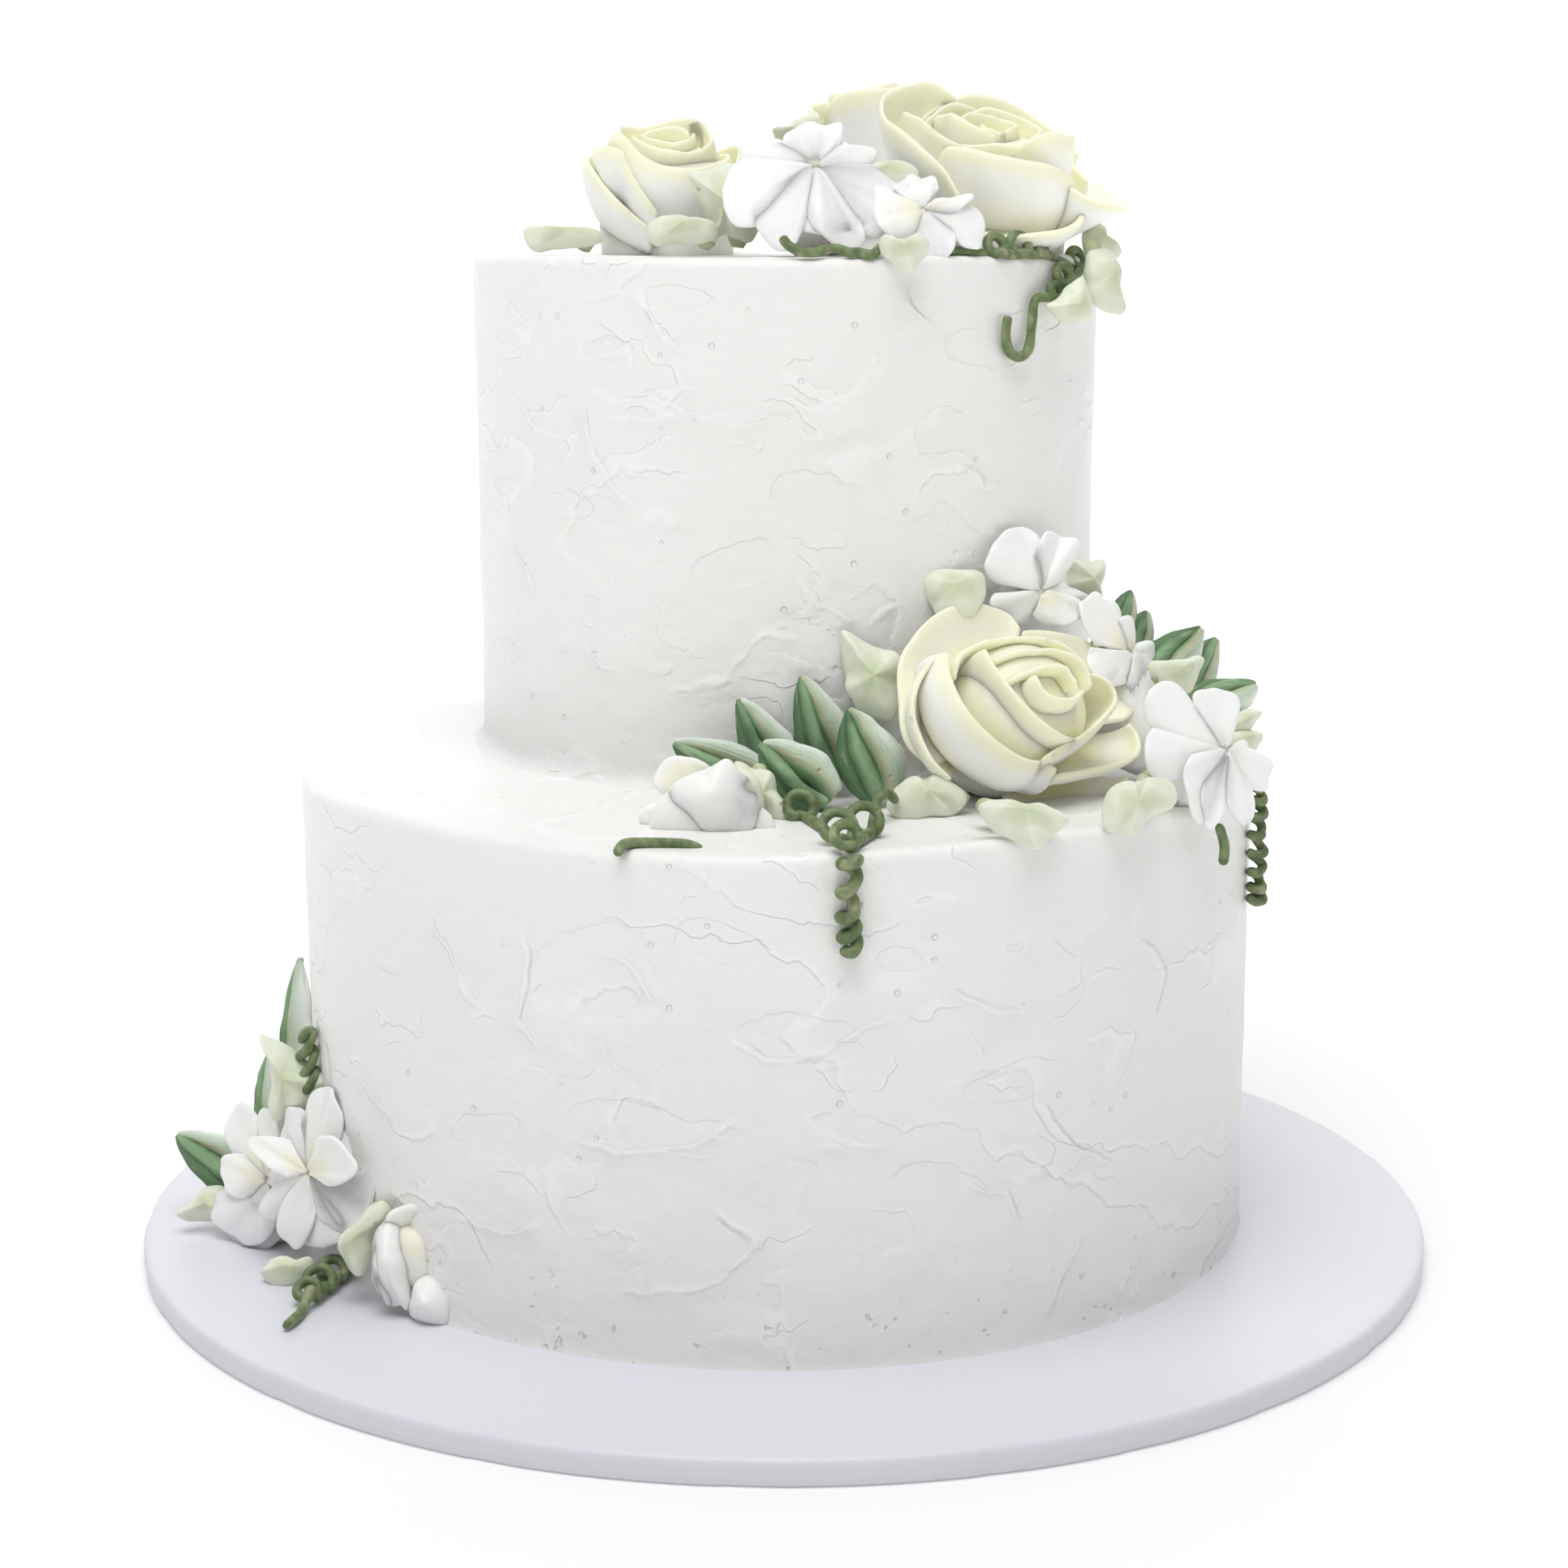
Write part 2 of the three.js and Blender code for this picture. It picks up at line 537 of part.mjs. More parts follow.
function ledgeTail() {
  const rest = LEDGE_Z + VINE_RADIUS + GAP;
  return [
    [-33, -97, rest - 1.5], [-31, -93.5, rest + 1], [-26, -90.5, rest + 0.6],
    [-19, -91, rest], [-12, -90, rest],
  ].map(vector);
}

function stemUnderBlossom() {
  return [[93, -66, 113], [94.5, -66, 108], [94, -67.5, 104]].map(vector);
}

function rightTrail() {
  return curls([onWall(LOWER, -18, LEDGE_Z), onWall(LOWER, -16, 86)], 4, 2.5, [0.95, -0.3, 0.1]);
}

function baseKnot() {
  return curls([onWall(LOWER, -161, 58), onWall(LOWER, -160, 45)], 2, 2.4, [-0.9, -0.4, 0]);
}

function baseCurl() {
  const rest = BOARD.thickness + VINE_RADIUS + GAP;
  const coil = curls([[-94, -53, rest + 1], [-101, -61, rest], [-106, -69, rest]], 4, 2.8, [0, -0.3, 0.95]);
  return [...coil, ...[[-107, -75, rest], [-109, -79, rest], [-110, -84, rest]].map(vector)];
}

// ---- Tiers and board ----

// A tier of iced cake: upright wall, soft rim, a fillet of icing at its foot, and a rim that
// rises and falls a little as a palette knife leaves it.
function tier({ x, y, radius, height, rimRound, rimWave, footFlare, steps }, floor, grow) {
  const wall = radius + grow;
  const top = height + grow;
  const profile = [
    [0, -grow], [wall + footFlare, -grow], [wall, footFlare + FOOT_FILLET],
    [wall + WALL_LEAN, top - rimRound], [wall - rimRound, top], [wall - RIM_BAND, top], [0, top],
  ];
  const geometry = new THREE.LatheGeometry(profile.map(([r, h]) => new THREE.Vector2(r, h)), steps);
  geometry.rotateX(Math.PI / 2);
  const place = geometry.getAttribute('position');
  for (let i = 0; i < place.count; i += 1) {
    const angle = Math.atan2(place.getY(i), place.getX(i));
    const out = Math.hypot(place.getX(i), place.getY(i));
    const atTop = place.getZ(i) > height * 0.7 ? 1 : 0;
    const atRim = atTop * THREE.MathUtils.smoothstep(out, wall - RIM_BAND, wall);
    place.setZ(i, place.getZ(i) + atRim * rimWave * Math.sin(2 * angle + 0.6) * Math.cos(3 * angle));
  }
  return solidOf(geometry.translate(x, y, floor));
}

function board(grow) {
  const { radius, thickness, edgeRound, steps } = BOARD;
  const profile = [
    [0, 0], [radius - edgeRound * 0.4, 0], [radius, edgeRound], [radius, thickness - edgeRound],
    [radius - edgeRound, thickness + grow], [0, thickness + grow],
  ];
  const geometry = new THREE.LatheGeometry(profile.map(([r, h]) => new THREE.Vector2(r, h)), steps);
  return solidOf(geometry.rotateX(Math.PI / 2));
}

// ---- The cake ----

function addTiers() {
  settle('board', board(0), BOARD_PAPER, []);
  settle('tier_lower', tier(LOWER, BOARD.thickness, 0), ICING, []);
  settle('tier_upper', tier(UPPER, LEDGE_Z, 0), ICING, []);
  keepClear.push(board(GAP), tier(LOWER, BOARD.thickness, GAP), tier(UPPER, LEDGE_Z, GAP));
}

function addVine(name, route, radius = VINE_RADIUS) {
  settle(name, vine(route, radius), VINE_GREEN, [vineClearance(route, radius)]);
}

// The mound of icing that carries a flower, from its seat on the cake up to the flower's centre.
function mound(seat, seatRadius, at, frame) {
  const height = vector(at).distanceTo(vector(seat));
  const profile = [[0, 0], [seatRadius, 0], [seatRadius * 0.6, height * 0.9], [0, height]];
  const geometry = new THREE.LatheGeometry(profile.map(([r, h]) => new THREE.Vector2(r, h)), 8);
  return solidOf(geometry.applyMatrix4(frame));
}

function addFlower(name, shape, placement, finish) {
  const { at, axis, seat, seatRadius } = placement;
  const frame = flowerFrame(at, axis);
  const petals = solidOf(geometryOf(shape(placement)).applyMatrix4(frame));
  const clearances = [wrapping(petals, frame)];
  let flower = petals;
  if (seat) {
    const upright = leafFrame(seat, at, axis);
    const base = mound(seat, seatRadius, at, upright);
    clearances.push(wrapping(base, upright));
    flower = petals.add(base);
  }
  settle(name, flower, finish, clearances);
}

function addLeaf(name, kind, placement, finish) {
  const frame = leafFrame(placement.from, placement.to, placement.facing);
  const blade = leaf({ ...kind, ...placement });
  settle(name, blade, finish, [wrapping(blade, frame)]);
}

addTiers();
addVine('vine_top', topVine());
addVine('vine_ledge', ledgeCurls());
addVine('vine_trail', hangingTrail(), TRAIL_RADIUS);
addVine('vine_tail', ledgeTail());
addVine('vine_stem', stemUnderBlossom());
addVine('vine_right', rightTrail());
addVine('vine_base_knot', baseKnot());
addVine('vine_base', baseCurl());
for (const [name, placement] of Object.entries(ROSES)) addFlower(name, rose, placement, ROSE_CREAM);
for (const [name, placement] of Object.entries(BLOSSOMS)) addFlower(name, blossom, placement, BLOSSOM_WHITE);
for (const [name, placement] of Object.entries(BUDS)) addFlower(name, bud, placement, BLOSSOM_WHITE);
for (const [name, placement] of Object.entries(DARK_LEAVES)) addLeaf(name, DARK_LEAF, placement, LEAF_DARK);
for (const [name, placement] of Object.entries(PALE_LEAVES)) addLeaf(name, PALE_LEAF, placement, LEAF_PALE);

export default cake;
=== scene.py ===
# %% [markdown]
# # A tiered wedding cake, piped in buttercream
#
# The cake stands on a round board. Two iced tiers carry roses, open blossoms, buds, leaves and
# curled vines. The CAD model already has a plain solid for each of them. This script makes a
# finished piece for every solid, at the same place and size, gives it a material, and lights it
# like a studio picture.
#
# Lengths are written in millimetres and turned into metres when a piece is finished, because cake
# makers think in millimetres and Blender in metres.

import math
import random

import bmesh
import bpy
from mathutils import Matrix, Vector, noise


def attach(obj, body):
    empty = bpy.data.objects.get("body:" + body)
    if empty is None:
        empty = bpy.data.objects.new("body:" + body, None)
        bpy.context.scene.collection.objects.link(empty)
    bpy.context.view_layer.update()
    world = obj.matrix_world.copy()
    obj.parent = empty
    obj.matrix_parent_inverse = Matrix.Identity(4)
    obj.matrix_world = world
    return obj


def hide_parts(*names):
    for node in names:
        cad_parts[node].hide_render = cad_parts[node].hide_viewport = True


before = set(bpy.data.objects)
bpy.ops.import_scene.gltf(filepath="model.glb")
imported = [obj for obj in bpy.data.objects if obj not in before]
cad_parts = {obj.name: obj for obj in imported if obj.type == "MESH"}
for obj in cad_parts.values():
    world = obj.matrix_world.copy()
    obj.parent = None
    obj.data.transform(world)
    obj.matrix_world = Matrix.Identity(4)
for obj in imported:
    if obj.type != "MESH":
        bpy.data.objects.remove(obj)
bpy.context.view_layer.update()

# %% [markdown]
# ## Chance
#
# Nothing piped by hand is quite even, so small bends and the edges of the marks come from noise.
# Blender shifts its vector noise by amounts drawn from the clock. A seed takes the clock's place,
# and each run gives the same cake.

# %% A seed for the noise
NOISE_SEED = 5
noise.seed_set(NOISE_SEED)
print("Vector noise from seed", NOISE_SEED, "at one place:", noise.noise_vector(Vector((0.3, 0.7, 1.1))))

# %% [markdown]
# ## Sizes
#
# The tiers and the board are round, so a radius, a middle and two heights fix each of them. They
# are kept in one place, because the flowers, leaves and vines are placed from them too.

# %% Sizes of the board and the tiers
MM = 0.001
BOARD_RADIUS = 152.4
BOARD_TOP = 6.0
LOWER = {"x": -1.5, "y": 3.0, "radius": 111.0, "foot": BOARD_TOP, "top": 115.2}
UPPER = {"x": 0.3, "y": 29.0, "radius": 73.5, "foot": 115.2, "top": 231.5}
LEDGE_Z = LOWER["top"]
TOP_Z = UPPER["top"]
VINE_RADIUS = 1.15
TRAIL_RADIUS = 1.35
print("Board", 2 * BOARD_RADIUS, "mm across; ledge at", LEDGE_Z, "mm and top at", TOP_Z, "mm")

# %% [markdown]
# ## Camera
#
# A cake is best seen from a little above its ledge, so that the tops of its tiers show. The camera
# stands in front, about two thirds of a metre away, and looks down a few degrees. It could be
# aimed with a tracking constraint, but one angle is enough and easier to read.

# %% Camera
CAMERA_AWAY, CAMERA_HEIGHT = 0.6857, 0.2464
CAMERA_DOWN = 11.39
LENS, SENSOR = 67.94, 36
camera_data = bpy.data.cameras.new("camera")
camera_data.lens = LENS
camera_data.sensor_width = SENSOR
camera = bpy.data.objects.new("camera", camera_data)
camera.location = (0, -CAMERA_AWAY, CAMERA_HEIGHT)
camera.rotation_euler = (math.radians(90 - CAMERA_DOWN), 0, 0)
bpy.context.scene.collection.objects.link(camera)
bpy.context.scene.camera = camera
print("Camera", camera.location, "lens", camera_data.lens)

# %% [markdown]
# ## Curves and frames
#
# A piping bag draws in smooth strokes, so everything piped follows a smooth curve through a few
# points. A Bezier curve would need handles for each point. This one needs only the points, so a
# rim can be drawn by saying where it goes.
#
# A flower has a frame of its own: Z is its axis, X points to the viewer's right and Y up. A leaf's
# frame runs from its foot to its tip.


# %% Curves and frames
def lerp(a, b, t):
    return a + (b - a) * t


def smoothstep(low, high, x):
    t = min(max((x - low) / (high - low), 0), 1)
    return t * t * (3 - 2 * t)


def along_curve(points, t):
    """The point at t (0 to 1) of a smooth curve through the points."""
    spans = len(points) - 1
    where = min(max(t, 0), 1) * spans
    i = min(int(where), spans - 1)
    f = where - i
    before, start = points[max(i - 1, 0)], points[i]
    end, after = points[i + 1], points[min(i + 2, spans)]
    return tuple(
        0.5 * (2 * b + (c - a) * f + (2 * a - 5 * b + 4 * c - d) * f * f + (3 * b - a - 3 * c + d) * f**3)
        for a, b, c, d in zip(before, start, end, after)
    )


def frame_of(x, y, z, at):
    return Matrix.Translation(Vector(at)) @ Matrix((x, y, z)).transposed().to_4x4()


def flower_frame(at, axis):
    z = Vector(axis).normalized()
    x = Vector((0, 0, 1)).cross(z).normalized()
    return frame_of(x, z.cross(x), z, at)


def leaf_frame(foot, tip, facing):
    y = (Vector(tip) - Vector(foot)).normalized()
    x = y.cross(Vector(facing)).normalized()
    return frame_of(x, y, x.cross(y), foot)


print("Half way along a bend:", along_curve([(0, 0), (1, 1), (2, 0)], 0.5))

# %% [markdown]
# ## Finished pieces
#
# A piece is modelled in millimetres in its final place, so its object stays at the origin and a
# pattern on Object coordinates stays where it is. Finishing a piece scales it to metres, turns its
# faces outward, gives it its material, hangs it under the root body and hides the CAD nodes it
# stands for. A flower is smoothed by a Subdivision Surface modifier, which keeps its grid small.


# %% Finishing a piece
def finish_piece(name, bm, material, nodes, levels=0):
    bmesh.ops.scale(bm, vec=(MM, MM, MM), verts=bm.verts)
    bmesh.ops.recalc_face_normals(bm, faces=bm.faces)
    for face in bm.faces:
        face.smooth = True
    mesh = bpy.data.meshes.new(name)
    bm.to_mesh(mesh)
    bm.free()
    mesh.materials.append(material)
    piece = bpy.data.objects.new(name, mesh)
    bpy.context.scene.collection.objects.link(piece)
    if levels:
        smooth = piece.modifiers.new("smooth", "SUBSURF")
        smooth.levels = levels
        smooth.render_levels = levels
    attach(piece, "root")
    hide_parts(*nodes)


def mark_layer(bm, name):
    """A number that each corner of the mesh keeps, for a material to read."""
    return bm.verts.layers.float.get(name) or bm.verts.layers.float.new(name)


# %% [markdown]
# ## A piped sheet
#
# A nozzle with a slit lays down a ribbon of icing, thick where it starts and thin at its rim. So
# petals and dark leaves are one kind of solid: a grid bent to a middle surface, extruded into a
# closed sheet, with each corner moved to one side of that surface. A Solidify modifier would give
# the same thickness everywhere, and a real petal thins out.
#
# The UV keeps how far across and how far from the foot each corner lies, so a material can tint
# the rim. Each sheet has its own stretch of the U axis, which gives it its own streaks. The mark
# `inner` is 1 on the side that faces the flower's axis.

# %% Piped sheets
NUDGE = 0.02
SIDE_EASE, TIP_EASE = 1.15, 1.4
SIDE_SAMPLE = (0, 0.6)


def ease_out(t, power):
    """Brings rows closer together towards the rim, at 1."""
    return 1 - (1 - t) ** power


def sheet_normal(middle, u, v):
    above, below = min(v + NUDGE, 1), max(v - NUDGE, 0)
    right, left = min(u + NUDGE, 1), max(u - NUDGE, -1)
    along_u = middle(right, v) - middle(left, v)
    along_v = middle(u, above) - middle(u, below)
    return along_u.cross(along_v).normalized()


def piped_sheet(bm, across, along, middle, half, strip=0, square=0.62, pale=0.0):
    """Adds a closed sheet. middle(u, v) is its middle surface, half(u, v) its half thickness."""
    layer = bm.loops.layers.uv.verify()
    inner = mark_layer(bm, "inner")
    corners = bmesh.ops.create_grid(bm, x_segments=across, y_segments=along, size=1)["verts"]
    front = list({face for corner in corners for face in corner.link_faces})
    extruded = bmesh.ops.extrude_face_region(bm, geom=front)["geom"]
    backs = [item for item in extruded if isinstance(item, bmesh.types.BMVert)]
    out = middle(*SIDE_SAMPLE)
    out.z = 0
    inner_side = 1 if sheet_normal(middle, *SIDE_SAMPLE).dot(out) < 0 else -1
    place = {}
    for side, verts in ((-1, corners), (1, backs)):
        for vert in verts:
            u = math.copysign(ease_out(abs(vert.co.x), SIDE_EASE), vert.co.x)
            v = ease_out((vert.co.y + 1) / 2, TIP_EASE)
            on_rim = abs(u) > 0.999 or v > 0.999 or v < 0.001
            reach = half(u, v) * (square if on_rim else 1)
            place[vert] = (u, v, middle(u, v) + sheet_normal(middle, u, v) * side * reach)
            vert[inner] = 1.0 if side == inner_side else 0.0
    for face in {face for vert in place for face in vert.link_faces}:
        for loop in face.loops:
            u, v, _ = place[loop.vert]
            loop[layer].uv = (strip + (u + 1) / 2, lerp(pale, 1, v))
    for vert, (_, _, point) in place.items():
        vert.co = point


# %% [markdown]
# ## A petal
#
# A piped petal starts in the flower's heart, swells, and ends in a thin rim. It is drawn by that
# rim: points of (turn about the flower's axis in degrees, reach from the axis, height). From the
# foot it runs through a belly, (share of the reach, share of the height), to the rim. A belly that
# is narrow and high flares out, and one that is wider than the rim closes over the flower.
#
# Petals could be sculpted, but a rim of a few points can be moved until the swirl looks right.

# %% Petals
FLARED = (0.74, 0.85)
UPRIGHT = (1.04, 0.42)
CLOSING = (1.22, 0.45)
OPEN = (0.55, 0.35)
RIM_SAMPLES = 20
PETAL_ROWS = 10
FEWEST_COLUMNS, MOST_COLUMNS, COLUMNS_PER_MM = 10, 48, 0.75
# Hearts and mounds take the middle of the colour run, whose deeper cream is partly painted shade.
HEART_SHADE, MOUND_SHADE = (0.5, 0.5), (0.5, 0.4)
print("Bellies: flared", FLARED, "upright", UPRIGHT, "closing", CLOSING, "open", OPEN)


def petal_surface(rim, belly, foot, ruffle, crease, seed):
    """The middle surface of a petal with that rim. foot is (reach, height)."""

    def middle(u, v):
        turn, reach, height = along_curve(rim, (u + 1) / 2)
        w = 1 - v
        shake = noise.noise(Vector((turn * 0.06, seed * 7.3, v * 1.5)))
        wave = ruffle * v * v * shake
        height += 1.3 * wave - crease * (math.cos(2 * math.pi * u) + 0.5 * math.cos(5 * math.pi * u)) * v * w
        out = w * w * foot[0] + 2 * w * v * reach * belly[0] + v * v * reach + wave
        middle_height = lerp(foot[1], height, belly[1])
        up = w * w * foot[1] + 2 * w * v * middle_height + v * v * height
        angle = math.radians(turn)
        return Vector((out * math.cos(angle), out * math.sin(angle), up))

    return middle


def petal_half(base, rim):
    def half(u, v):
        return lerp(base, rim, v**0.8) * (1 - 0.12 * u**4)

    return half


def from_turns(rim):
    """(turn, reach, height) points as (x, y, height)."""
    return [(r * math.cos(math.radians(a)), r * math.sin(math.radians(a)), h) for a, r, h in rim]


def add_petal(bm, rim, belly, foot, ruffle, seed, base, edge, fine=1.0, pale=0.0, crease=0.0):
    """Adds a petal, base mm thick each way at its foot and edge at its rim.

    ruffle and crease wave its rim, fine multiplies its columns, and pale is the share of the
    colour's run, from the foot, that it leaves out.
    """
    points = from_turns([along_curve(rim, i / RIM_SAMPLES) for i in range(RIM_SAMPLES + 1)])
    length = sum(math.dist(a, b) for a, b in zip(points, points[1:]))
    across = max(FEWEST_COLUMNS, min(MOST_COLUMNS, round(length * COLUMNS_PER_MM * fine)))
    surface = petal_surface(rim, belly, foot, ruffle, crease, seed)
    piped_sheet(bm, across, PETAL_ROWS, surface, petal_half(base, edge), strip=seed, pale=pale)


# %% Hearts and mounds
def add_dome(bm, radius, height, at):
    """A solid heart of icing, with a flattish top, that closes the inside of a flower."""
    inner = mark_layer(bm, "inner")
    dome = bmesh.ops.create_uvsphere(bm, u_segments=24, v_segments=12, radius=1)["verts"]
    layer = bm.loops.layers.uv.verify()
    for vert in dome:
        x, y, z = vert.co
        top = math.copysign(abs(z) ** 0.6, z)
        vert.co = Vector(at) + Vector((x * radius, y * radius, top * height))
        vert[inner] = 1.0 if top > 0 else 0.0
    for face in {face for vert in dome for face in vert.link_faces}:
        for loop in face.loops:
            loop[layer].uv = HEART_SHADE


def add_mound(bm, seat, at, radius):
    """The icing that a flower sits on, from the cake up to the flower's foot."""
    seat, at = Vector(seat), Vector(at)
    rise = (at - seat).length
    layer = bm.loops.layers.uv.verify()
    cone = bmesh.ops.create_cone(
        bm, cap_ends=True, cap_tris=False, segments=28, radius1=radius, radius2=radius * 0.5, depth=rise,
    )["verts"]
    turn = Vector((0, 0, 1)).rotation_difference(at - seat).to_matrix().to_4x4()
    bmesh.ops.transform(bm, matrix=Matrix.Translation((seat + at) / 2) @ turn, verts=cone)
    for face in {face for vert in cone for face in vert.link_faces}:
        for loop in face.loops:
            loop[layer].uv = MOUND_SHADE


# %% [markdown]
# ## A pillow
#
# Soft icing that is squeezed out in one spot swells into a plump shape. The pale leaves and the
# petals that wrap a bud are such shapes. Each has an outline drawn point by point: (right, up,
# height) in its own frame. A sphere is pulled to that outline, so the shape is closed and has no
# seam, where two sheets laid on each other would leave a slit. Where a height along the outline is
# raised, a soft fold runs from the middle to that point.


# %% Pillows
def add_pillow(bm, rim, peak, thick, seed):
    """Adds a closed, plump shape with that outline. peak is the height of its middle."""
    loop = [rim[-1], *rim, rim[0], rim[1]]
    count = len(rim)
    ball = bmesh.ops.create_uvsphere(bm, u_segments=count * 4, v_segments=22, radius=1)["verts"]
    layer = bm.loops.layers.uv.verify()
    place = {}
    for vert in ball:
        x, y, z = vert.co
        t = (math.atan2(y, x) / (2 * math.pi)) % 1
        v = math.hypot(x, y)
        px, py, height = along_curve(loop, (1 + t * count) / (count + 2))
        w = 1 - v
        bend = lerp(peak, height, 0.3)
        up = w * w * peak + 2 * w * v * bend + v * v * height
        point = Vector((px * v, py * v, up + math.copysign(abs(z) ** 0.7, z) * thick))
        shake = noise.noise_vector(point * 0.28 + Vector((seed * 4.7, 0, 0)))
        # Painted highlight and shade: lighter where the outline is raised and darker where it is low; the run also
        # grows lighter towards the edge.
        shade = lerp(0.5, 1, v) + 0.16 * (height + 0.4) * v
        place[vert] = (seed + t, shade, point + shake * (0.25 + 0.3 * v))
    for face in {face for vert in ball for face in vert.link_faces}:
        for corner in face.loops:
            corner[layer].uv = place[corner.vert][:2]
    for vert, (_, _, point) in place.items():
        vert.co = point


# %% [markdown]
# ## Buttercream
#
# Beaten buttercream isn't smooth: it has a fine tooth, soft lumps and a few tiny air holes. All
# the icing shares this grain, so it is one node group that every material uses. It gives a height
# for bump and a mask of the holes. The grain is too fine to be modelled, and bump costs no faces.


# %% Shader helpers
def link(tree, source, target):
    tree.links.new(source, target)


def add_node(tree, kind, **settings):
    node = tree.nodes.new(kind)
    for key, value in settings.items():
        setattr(node, key, value)
    return node


def math_node(tree, operation, a, b=None):
    node = add_node(tree, "ShaderNodeMath", operation=operation)
    for socket, value in zip(node.inputs, (a, b)):
        if value is None:
            continue
        if isinstance(value, (int, float)):
            socket.default_value = value
        else:
            link(tree, value, socket)
    return node.outputs[0]


def map_range(tree, value, low, high, to_low=0.0, to_high=1.0, smooth=True):
    node = add_node(tree, "ShaderNodeMapRange", interpolation_type="SMOOTHSTEP" if smooth else "LINEAR")
    link(tree, value, node.inputs["Value"])
    for key, number in (("From Min", low), ("From Max", high), ("To Min", to_low), ("To Max", to_high)):
        node.inputs[key].default_value = number
    return node.outputs["Result"]


def mix_colour(tree, factor, a, b):
    node = add_node(tree, "ShaderNodeMix", data_type="RGBA")
    colours = [socket for socket in node.inputs if socket.type == "RGBA"]
    if isinstance(factor, (int, float)):
        node.inputs["Factor"].default_value = factor
    else:
        link(tree, factor, node.inputs["Factor"])
    for socket, colour in zip(colours, (a, b)):
        if isinstance(colour, tuple):
            socket.default_value = (*colour, 1)
        else:
            link(tree, colour, socket)
    return next(socket for socket in node.outputs if socket.type == "RGBA")


def noise_value(tree, vector, scale, detail=2.0, roughness=0.5):
    node = add_node(tree, "ShaderNodeTexNoise")
    link(tree, vector, node.inputs["Vector"])
    node.inputs["Scale"].default_value = scale
    node.inputs["Detail"].default_value = detail
    node.inputs["Roughness"].default_value = roughness
    return node.outputs["Fac"]


def new_group(name, inputs, outputs):
    group = bpy.data.node_groups.new(name, "ShaderNodeTree")
    for label, kind in inputs:
        group.interface.new_socket(label, in_out="INPUT", socket_type=kind)
    for label, kind in outputs:
        group.interface.new_socket(label, in_out="OUTPUT", socket_type=kind)
    return group, group.nodes.new("NodeGroupInput"), group.nodes.new("NodeGroupOutput")


def use_group(tree, group, **links):
    node = add_node(tree, "ShaderNodeGroup", node_tree=group)
    for key, source in links.items():
        link(tree, source, node.inputs[key])
    return node


# %% The buttercream grain
def buttercream_group():
    group, inside, outside = new_group(
        "buttercream", [("Place", "NodeSocketVector")],
        [("Height", "NodeSocketFloat"), ("Holes", "NodeSocketFloat")],
    )
    place = inside.outputs["Place"]
    tooth = noise_value(group, place, 2600, 3, 0.6)
    soft = noise_value(group, place, 420, 2, 0.5)
    cells = add_node(group, "ShaderNodeTexVoronoi", feature="F1")
    link(group, place, cells.inputs["Vector"])
    cells.inputs["Scale"].default_value = 260
    bright = add_node(group, "ShaderNodeSeparateColor")
    link(group, cells.outputs["Color"], bright.inputs["Color"])
    few = map_range(group, bright.outputs["Red"], 0.93, 0.95)
    dot = map_range(group, cells.outputs["Distance"], 0.22, 0.1)
    holes = math_node(group, "MULTIPLY", few, dot)
    rough = math_node(group, "MULTIPLY", tooth, 0.16)
    body = math_node(group, "MULTIPLY", soft, 0.5)
    surface = math_node(group, "ADD", rough, body)
    sunk = math_node(group, "MULTIPLY", holes, 0.9)
    link(group, math_node(group, "SUBTRACT", surface, sunk), outside.inputs["Height"])
    link(group, holes, outside.inputs["Holes"])
    return group


BUTTERCREAM = buttercream_group()
print("Buttercream group nodes:", len(BUTTERCREAM.nodes))


# %% Starting a material
ICING_IOR = 1.45
SCATTER_COLOURS = (1.0, 0.95, 0.85)
SCATTER_DEPTH = 0.0012


def new_material(name, roughness, subsurface=0.0):
    material = bpy.data.materials.new(name)
    material.use_nodes = True
    tree = material.node_tree
    shader = tree.nodes["Principled BSDF"]
    shader.inputs["Roughness"].default_value = roughness
    shader.inputs["IOR"].default_value = ICING_IOR
    shader.inputs["Subsurface Weight"].default_value = subsurface
    shader.inputs["Subsurface Radius"].default_value = SCATTER_COLOURS
    shader.inputs["Subsurface Scale"].default_value = SCATTER_DEPTH
    return material, tree, shader


def add_bump(tree, shader, height, distance):
    bump = add_node(tree, "ShaderNodeBump")
    bump.inputs["Strength"].default_value = 1.0
    bump.inputs["Distance"].default_value = distance
    link(tree, height, bump.inputs["Height"])
    link(tree, bump.outputs["Normal"], shader.inputs["Normal"])


def object_place(tree):
    return add_node(tree, "ShaderNodeTexCoord").outputs["Object"]


def sheet_coordinates(tree):
    """The UV, how far across (0 to 1 on every sheet) and how far along (0 at the foot)."""
    uv = add_node(tree, "ShaderNodeTexCoord").outputs["UV"]
    parts = add_node(tree, "ShaderNodeSeparateXYZ")
    link(tree, uv, parts.inputs["Vector"])
    across = math_node(tree, "FRACT", parts.outputs["X"])
    return uv, across, parts.outputs["Y"]


def stretched(tree, vector, scale):
    node = add_node(tree, "ShaderNodeMapping")
    link(tree, vector, node.inputs["Vector"])
    node.inputs["Scale"].default_value = scale
    return node.outputs["Vector"]
